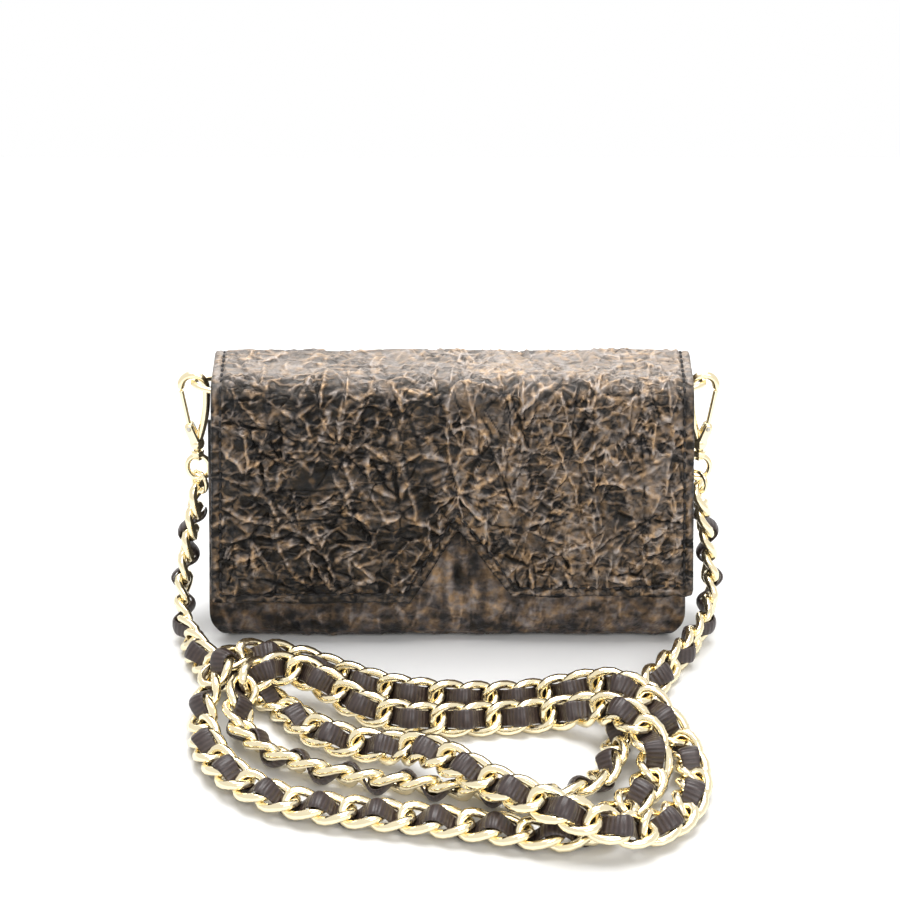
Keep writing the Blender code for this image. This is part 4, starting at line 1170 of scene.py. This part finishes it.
# %% Flap leather
layout = flap_sheet(depth=0.0, margin=0.0, first=0.0, counts=(72, 152, 140, 34, 38, 128))
across, length = layout[:2]
height, crest = crumple(across, length, FLAP_SEED)
bronze = wiped_bronze(across, length, height, crest, 5, FLAP_SEED)
rim = flap_margin(across, length)
bronze += 0.5 * (0.42 - bronze) * np.interp(rim, (SEAM_IN, SEAM_IN + 1.2), (1.0, 0.0))
bronze *= 1 - 0.45 * bell(rim - SEAM_IN, 0.45) - 0.7 * np.clip(1 - rim / 1.1, 0.0, 1.0)
# Painted highlight: the top band, where the lamp behind gives sheen, is painted paler and more bronze.
worn = np.interp(length + 3.5 * hills(across, length, 12.0, 9), (3.0, 9.0, 23.0, 37.0), (0.3, 0.85, 1.0, 0.0))
bronze += worn * (0.22 + 0.4 * (0.5 - bronze))
face = flap_height(across, length, height)
flap_leather = leather("flap_leather", FLAP_FINISH, layout, face, FLAP_LEATHER / 2, bronze=bronze, worn=worn)
print("flap points:", len(flap_leather.data.vertices))

# %% Flap lining
layout = flap_sheet(depth=-1.0, margin=2.0, first=11.2, counts=(10, 24, 20, 8, 8, 20))
flap_cloth = sheet("flap_cloth", LINING_FINISH, layout, 0.0, -CLOTH)

# %% [markdown]
# ## Stitches
#
# A machine seam is a row of short threads, each diving into the leather at its ends. Every stitch
# is the same tiny arched tube, laid along a line on the sheet.

# %% Stitch rows
STITCH_PITCH, STITCH_LENGTH, STITCH_SIDES = 3.8, 2.7, 6
STITCH_SHARES = np.array([-1.0, -0.72, 0.0, 0.72, 1.0])
STITCH_RADII = np.array([0.15, 0.42, 0.48, 0.42, 0.15]) * MM
STITCH_ARCH, STITCH_DIP = 0.3 * MM, 0.6 * MM


def stitch_row(name, line, surface):
    """Arched threads along a line of sheet places, in mm.

    Each thread has five rings; their height over the leather is arch - dip * t^4 and their radius
    shrinks at both ends. surface gives the point and the normal at places on the sheet.
    """
    so_far = lengths(line)
    count = int(so_far[-1] / STITCH_PITCH)
    middle = (np.arange(count) + 0.5) * so_far[-1] / count
    place = read(line, so_far, middle[:, None] + STITCH_SHARES * STITCH_LENGTH / 2)
    point, normal = surface(place[..., 0], place[..., 1])
    aside = np.cross(unit(np.gradient(point, axis=1)), normal)
    rise = STITCH_ARCH - STITCH_DIP * STITCH_SHARES ** 4
    turn = full_turn(STITCH_SIDES)
    up = rise[:, None] + STITCH_RADII[:, None] * np.sin(turn)
    out = STITCH_RADII[:, None] * np.cos(turn)
    rings = normal[:, :, None] * up[None, :, :, None] + aside[:, :, None] * out[None, :, :, None]
    return joined_tubes(name, THREAD_FINISH, *((thread, False) for thread in point[:, :, None] + rings))


def on_flap(x, length):
    """Points and normals on the flap's face, for stitches."""
    place, normal = profile_at(flap_side, length)
    height = flap_height(x, length, crumple(x, length, FLAP_SEED)[0])
    return in_space(x, place, normal, height) * MM, in_space(0.0, 0 * place, normal, 1.0)


def flap_seam_line():
    """The seam's line on the sheet: down the left edge, along the notched foot, up the right."""
    low_left, apex, low_right = (on_face(z) - SEAM_IN for z in NOTCH_Z)
    sides = np.linspace(4.0, low_left, 60)
    place = profile_at(flap_side, sides)[0]
    edge = flap_half(place[:, 0], place[:, 1]) - SEAM_IN
    left = together(FLAP_SHIFT - edge, sides)
    right = together(FLAP_SHIFT + edge, sides)[::-1]
    right = right[right[:, 1] < low_right]
    notch = [(NOTCH_X[0] - 2.1, low_left), (NOTCH_X[1], apex - 1.05 * SEAM_IN), (NOTCH_X[2] + 2.0, low_right)]
    return np.concatenate([left, notch, right])


flap_seam = stitch_row("flap_seam", flap_seam_line(), on_flap)

# %% [markdown]
# ## The body
#
# One piece of the same leather makes the front and the base; it hangs a little fuller low down. The
# back is a second piece. Smooth dark leather, folded inward, closes the sides. A thin roll of it runs
# along the flap's bend, so that no light shows there when the flap stands open.

# %% Front and base
BODY_HALF, BODY_TAPER, BASE_TAPER, BASE_TAPER_Z = 82.75, 4.3, 5.5, 12.0
FRONT_Y, FRONT_HANG, HANG_LOW, HANG_SPAN, FRONT_TOP = -14.4, 1.8, 14.82, 32.6, 84.0
BASE_RADIUS, BASE_FRONT_Y, BASE_BACK_Y, FLAT_BELOW_Z = 8.0, -6.4, 9.5, 0.8
BODY_LEATHER, FRONT_SEED, BACK_SEED = 1.6, 77, 93
BACK_Y, BACK_LOW, BACK_TOP = 17.5, 10.3, 94.0


def body_half(z):
    """Half the width of the body in mm, drawn in at the base and towards the top."""
    low = np.clip(1 - z / BASE_TAPER_Z, 0.0, 1.0)
    return BODY_HALF - BODY_TAPER * z / BAG_HEIGHT - BASE_TAPER * low * low


def front_y(z):
    """Where the outer face of the front lies: fuller low down, in mm."""
    share = np.clip((z - HANG_LOW) / HANG_SPAN, 0.0, 1.0)
    return FRONT_Y + FRONT_HANG * share * share * (3 - 2 * share)


def body_side(depth):
    """Side view of the front and base at a depth inside their outer face."""
    heights = np.linspace(FRONT_TOP, BASE_RADIUS, 50)[:-1]
    down = together(front_y(heights) + depth, heights)
    bends = [
        arc(y, BASE_RADIUS, BASE_RADIUS - depth, first, first + 90.0, 13)
        for y, first in ((BASE_FRONT_Y, 180.0), (BASE_BACK_Y, 270.0))
    ]
    return np.concatenate([down, *bends])


def body_sheet(side, rows, columns, inset=0.0):
    """The layout of a sheet that follows a side view across the body's width."""
    length = np.linspace(0.0, lengths(side)[-1], rows + 1)[:, None]
    length = np.broadcast_to(length, (rows + 1, columns + 1))
    place, normal = profile_at(side, length)
    x = np.linspace(-1.0, 1.0, columns + 1)[None, :] * (body_half(place[..., 1]) - inset)
    return x, length, place, normal


layout = body_sheet(np.concatenate([body_side(0.0), [(BACK_Y, 10.0)]]), 160, 240)
across, length, z = layout[0], layout[1], layout[2][..., 1]
height, crest = crumple(across * 1.35, length * 0.8, FRONT_SEED)
bronze = wiped_bronze(across, length, height, crest, 3, FRONT_SEED)
margin = body_half(z) - np.abs(across)

# Under the notch the leather is gathered, with a hollow at the notch's top
under_notch = bell(across - NOTCH_X[1], 13.0) * np.interp(z, (10.0, 20.0, 30.0, 40.0), (0.2, 1.0, 1.0, 0.0))
gathers = under_notch * hills(across, 0.22 * length, 3.6, 63)
hollow = bell(across - NOTCH_X[1], 8.0) * bell(z - NOTCH_Z[1], 7.0)
face = (0.35 + 0.35 * under_notch) * height * np.clip(margin / 3.0, 0.2, 1.0) - edge_fall(margin, 0.8)
face = face + 0.65 * gathers - 0.9 * hollow
face = np.where(z < FLAT_BELOW_Z, np.minimum(face, 0.0), face)

# Painted shade: the wash is darker upwards, where the flap's edge shades the front.
wash_and_painted_shade = np.interp(z, (12.0, 28.0, 70.0), (0.5, 0.4, 0.27)) + 0.55 * gathers + 0.12 * under_notch
wash_and_painted_shade = wash_and_painted_shade + 0.24 * hills(across, length, 14.0, 61)
wash_and_painted_shade = wash_and_painted_shade + (0.2 - 0.17 * under_notch) * hills(0.5 * across, length, 3.6, 62)
# Painted shade: darker in the hollow at the notch's top and along the foot.
wash_and_painted_shade = wash_and_painted_shade - 0.42 * hollow - 0.2 * np.clip(1 - z / 12.0, 0.0, 1.0)
wash_and_painted_shade = np.clip(wash_and_painted_shade + (0.4 - 0.25 * under_notch) * (bronze - 0.4), 0.0, 1.0)
front_leather = leather("front_leather", BODY_FINISH, layout, face, BODY_LEATHER, bronze=wash_and_painted_shade)

# %% Back
layout = body_sheet(together(BACK_Y, np.linspace(BACK_LOW, BACK_TOP, 40)), 120, 200)
across, length, z = layout[0], layout[1], layout[2][..., 1]
height, crest = crumple(across, length, BACK_SEED)
bronze = wiped_bronze(across, length, height, crest, 3, BACK_SEED)
margin = np.minimum(body_half(z) - np.abs(across), np.minimum(length, BACK_TOP - BACK_LOW - length))
groove = bell(margin - SEAM_IN, 0.42)
face = np.minimum(0.4 * height * np.clip(margin / 3.0, 0.2, 1.0), 0.35) - 0.35
face = face - 0.3 * groove - edge_fall(margin, 0.7)
bronze *= 1 - 0.8 * groove
back_leather = leather("back_leather", FLAP_FINISH, layout, face, BODY_LEATHER, bronze=bronze)

# %% Rolled edge at the bend
ROLL_HALF, ROLL_RADIUS = 77.8, 1.15
roll_line = together(FLAP_SHIFT + np.linspace(-ROLL_HALF, ROLL_HALF, 40), *FLAP_TOP[0]) * MM
bend_roll = joined_tubes("bend_roll", SIDE_FINISH, bar(roll_line, ROLL_RADIUS * MM))

# %% Lining and pocket
CLOTH_DEPTH, CLOTH_TOP, CLOTH_INSET = 1.9, 85.6, 11.2
lining_side = np.concatenate([body_side(CLOTH_DEPTH), [(BACK_Y - CLOTH_DEPTH, CLOTH_TOP)]])
layout = body_sheet(lining_side, 80, 60, CLOTH_INSET)
body_cloth = sheet("body_cloth", LINING_FINISH, layout, 0.0, -CLOTH)

POCKET_Y, POCKET_TOP, POCKET_LOW, POCKET_HALF, POCKET_LEATHER = 13.6, 70.0, 22.0, 52.0, 1.0
layout = body_sheet(together(POCKET_Y, np.linspace(POCKET_TOP, POCKET_LOW, 20)), 24, 52)
across, length, place, normal = layout
layout = across / body_half(place[..., 1]) * POCKET_HALF, length, place, normal
pocket_leather = sheet("pocket_leather", SIDE_FINISH, layout, 0.0, -POCKET_LEATHER)

# %% Gussets
# Each column of a gusset: how far in from the body's side, share of the way from the back (-1) to
# the front (1), height of its foot, in mm
GUSSET_COLUMNS = np.array([
    (6.0, 1.0, 8.0), (0.0, 1.0, 8.0), (4.4, 0.5, 1.9), (8.8, 0.0, 1.9),
    (4.4, -0.5, 1.9), (0.0, -1.0, 8.0), (6.0, -1.0, 8.0),
])
GUSSET_TOP, GUSSET_HALF, GUSSET_FRONT_IN, GUSSET_BACK_Y, GUSSET_WAVE = 89.6, 0.6, 2.5, 15.0, 0.25


def cut_corners(grid, times):
    """A grid whose columns are rounded by cutting each corner at a quarter and three quarters."""
    for _ in range(times):
        near = grid[:, :-1] * 0.75 + grid[:, 1:] * 0.25
        far = grid[:, :-1] * 0.25 + grid[:, 1:] * 0.75
        middle = np.stack([near, far], axis=2).reshape(grid.shape[0], -1, 3)
        grid = np.concatenate([grid[:, :1], middle, grid[:, -1:]], axis=1)
    return grid


def gusset(side):
    """A side wall whose plan is a flange, an inward fold like a V, and a flange again."""
    inward, share, foot = GUSSET_COLUMNS.T
    z = foot + (GUSSET_TOP - foot) * np.linspace(0.0, 1.0, 40)[:, None]
    far = np.where(share > 0, front_y(z) + GUSSET_FRONT_IN, -GUSSET_BACK_Y)
    wave = GUSSET_WAVE * np.sin(z / 6.0 + 3 * share) * (share ** 2 < 0.9)
    x = body_half(z) - GUSSET_HALF - inward + wave
    grid = cut_corners(together(OUT[side] * x, far * share, z), 3)
    normals = unit(np.cross(np.gradient(grid, axis=1), np.gradient(grid, axis=0))) * OUT[side]
    outer, inner = ((grid + normals * depth) * MM for depth in (GUSSET_HALF, -GUSSET_HALF))
    return shell("gusset_leather_" + side, outer, inner, 1, SIDE_FINISH)


# %% Tabs
TAB_X, TAB_FOOT_Z, TAB_TOP_Z, TAB_HALF, TAB_LEATHER, TAB_BEND = 74.77, 77.05, 91.0, 3.4, 1.1, 1.8


def tab(side):
    """The tab: a tail against the gusset, and a head that loops round the D ring's bar."""
    head = arc(RING_BAR_X / MM, RING_BAR_Z / MM, TAB_BEND, 180.0, -100.0, 26)
    path = np.concatenate([together(TAB_X, np.linspace(TAB_FOOT_Z, TAB_TOP_Z, 18)), head])
    tangent = unit(np.gradient(path, axis=0))
    normal = together(-tangent[:, 1], tangent[:, 0])
    wide = np.linspace(-TAB_HALF, TAB_HALF, 13)
    soft = 0.25 * (wide / TAB_HALF) ** 4
    spot = path[:, None] + normal[:, None] * (TAB_LEATHER / 2 - soft[None, :, None])
    grid = together(OUT[side] * spot[..., 0], wide, spot[..., 1])
    outward = together(OUT[side] * normal[:, 0], 0.0, normal[:, 1])[:, None]
    inner = grid - TAB_LEATHER * outward
    return shell("tab_leather_" + side, grid * MM, inner * MM, 1, BODY_FINISH)


gussets = {side: gusset(side) for side in SIDES}
tabs = {side: tab(side) for side in SIDES}

# %% [markdown]
# ## Table, light and riders
#
# The bag stands on a plain white table. A broad soft lamp above gives the pale shadow under it, one
# behind gives the bright band along its top, helped there by a painted highlight on the flap, and one
# in front opens up the darkest leather. The world is dimmer as light than it looks to the camera and
# in the polished metal.

# %% Table and light
TABLE_CORNERS = [(-0.5, -0.6, 0.0), (0.5, -0.6, 0.0), (0.5, 0.55, 0.0), (-0.5, 0.55, 0.0)]
table_mesh = bpy.data.meshes.new("table")
table_mesh.from_pydata(TABLE_CORNERS, [], [(0, 1, 2, 3)])
table_mesh.materials.append(new_finish("table_white", (0.93, 0.93, 0.93), 0.6)[0])
table = add_object("table", table_mesh)
table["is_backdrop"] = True

WORLD_LIGHT, MIRRORED_SHARE = 0.42, 0.8
world = bpy.data.worlds.new("studio")
world.use_nodes = True
bpy.context.scene.world = world
sky = world.node_tree
rays = add_node(sky, "LightPath").outputs
mirrored = sums(sky, (rays["Is Glossy Ray"], MIRRORED_SHARE))
shown = reckoned(sky, "MAXIMUM", rays["Is Camera Ray"], mirrored, use_clamp=True)
strength = ranged(sky, shown, (0.0, 1.0), (WORLD_LIGHT, 1.0))
feed(sky, sky.nodes["Background"], {"Color": (1.0, 1.0, 1.0, 1.0), "Strength": strength})


def soft_lamp(name, place, target, width, height, power):
    """An oblong lamp that faces a target."""
    lamp = bpy.data.lights.new(name, "AREA")
    lamp.shape = "RECTANGLE"
    lamp.size, lamp.size_y, lamp.energy = width, height, power
    made = add_object(name, lamp)
    made.location = place
    made.rotation_euler = (Vector(target) - Vector(place)).to_track_quat("-Z", "Y").to_euler()


soft_lamp("overhead", (0.0, 0.06, 1.0), (0.0, -0.02, 0.0), 0.8, 0.6, 10.0)
soft_lamp("behind", (0.0, 0.95, 0.6), (0.0, 0.0, 0.05), 1.0, 0.35, 4.5)
soft_lamp("front", (0.35, -1.0, 0.8), (0.0, -0.1, 0.0), 0.8, 0.5, 4.5)
bpy.context.scene.view_settings.view_transform = "Standard"

# %% Which piece stands for which solid


def stand_for(piece, body, slot, *nodes):
    """Let a piece ride on a body and stand for solids of the model; slot is not used."""
    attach(piece, body)
    if nodes:
        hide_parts(*nodes)


stand_for(front_leather, "bag", "bag_leather", "front_panel")
stand_for(back_leather, "bag", "bag_leather", "back_panel")
stand_for(bend_roll, "bag", "dark_leather")
stand_for(body_cloth, "bag", "lining", "body_lining")
stand_for(pocket_leather, "bag", "dark_leather", "inner_pocket")
stand_for(flap_leather, "flap", "bag_leather", "flap")
stand_for(flap_cloth, "flap", "lining", "flap_lining")
stand_for(flap_seam, "flap", "dark_leather")
stand_for(snap_base, "bag", "gold", "snap_base")
stand_for(snap_cap, "flap", "gold", "snap_cap")
stand_for(chain_links, "bag", "gold", "strap_chain")
stand_for(chain_lace, "bag", "lace_leather", "strap_lace")
for side in SIDES:
    hook_piece, gate_piece, pin_piece, eye_piece, link_piece, ring_piece = fittings[side]
    stand_for(gussets[side], "bag", "dark_leather", "gusset_" + side)
    stand_for(tabs[side], "bag", "bag_leather", "ring_tab_" + side)
    stand_for(hook_piece, "hook_" + side, "gold", "hook_body_" + side)
    stand_for(gate_piece, "gate_" + side, "gold", "hook_gate_" + side)
    stand_for(pin_piece, "hook_" + side, "pin_steel", "gate_pin_" + side)
    stand_for(eye_piece, "bag", "gold", "swivel_eye_" + side)
    stand_for(link_piece, "bag", "gold", "link_ring_" + side)
    stand_for(ring_piece, "d_ring_" + side, "gold", "d_ring_" + side)

# %% A list of the lace and the fittings at the strap's ends
on_strap_pieces = [chain_lace]
for side in SIDES:
    on_strap_pieces += fittings[side][:5]

# %% Finish
shown_box = plain_box()
print_span("shown span, mm:", shown_box)
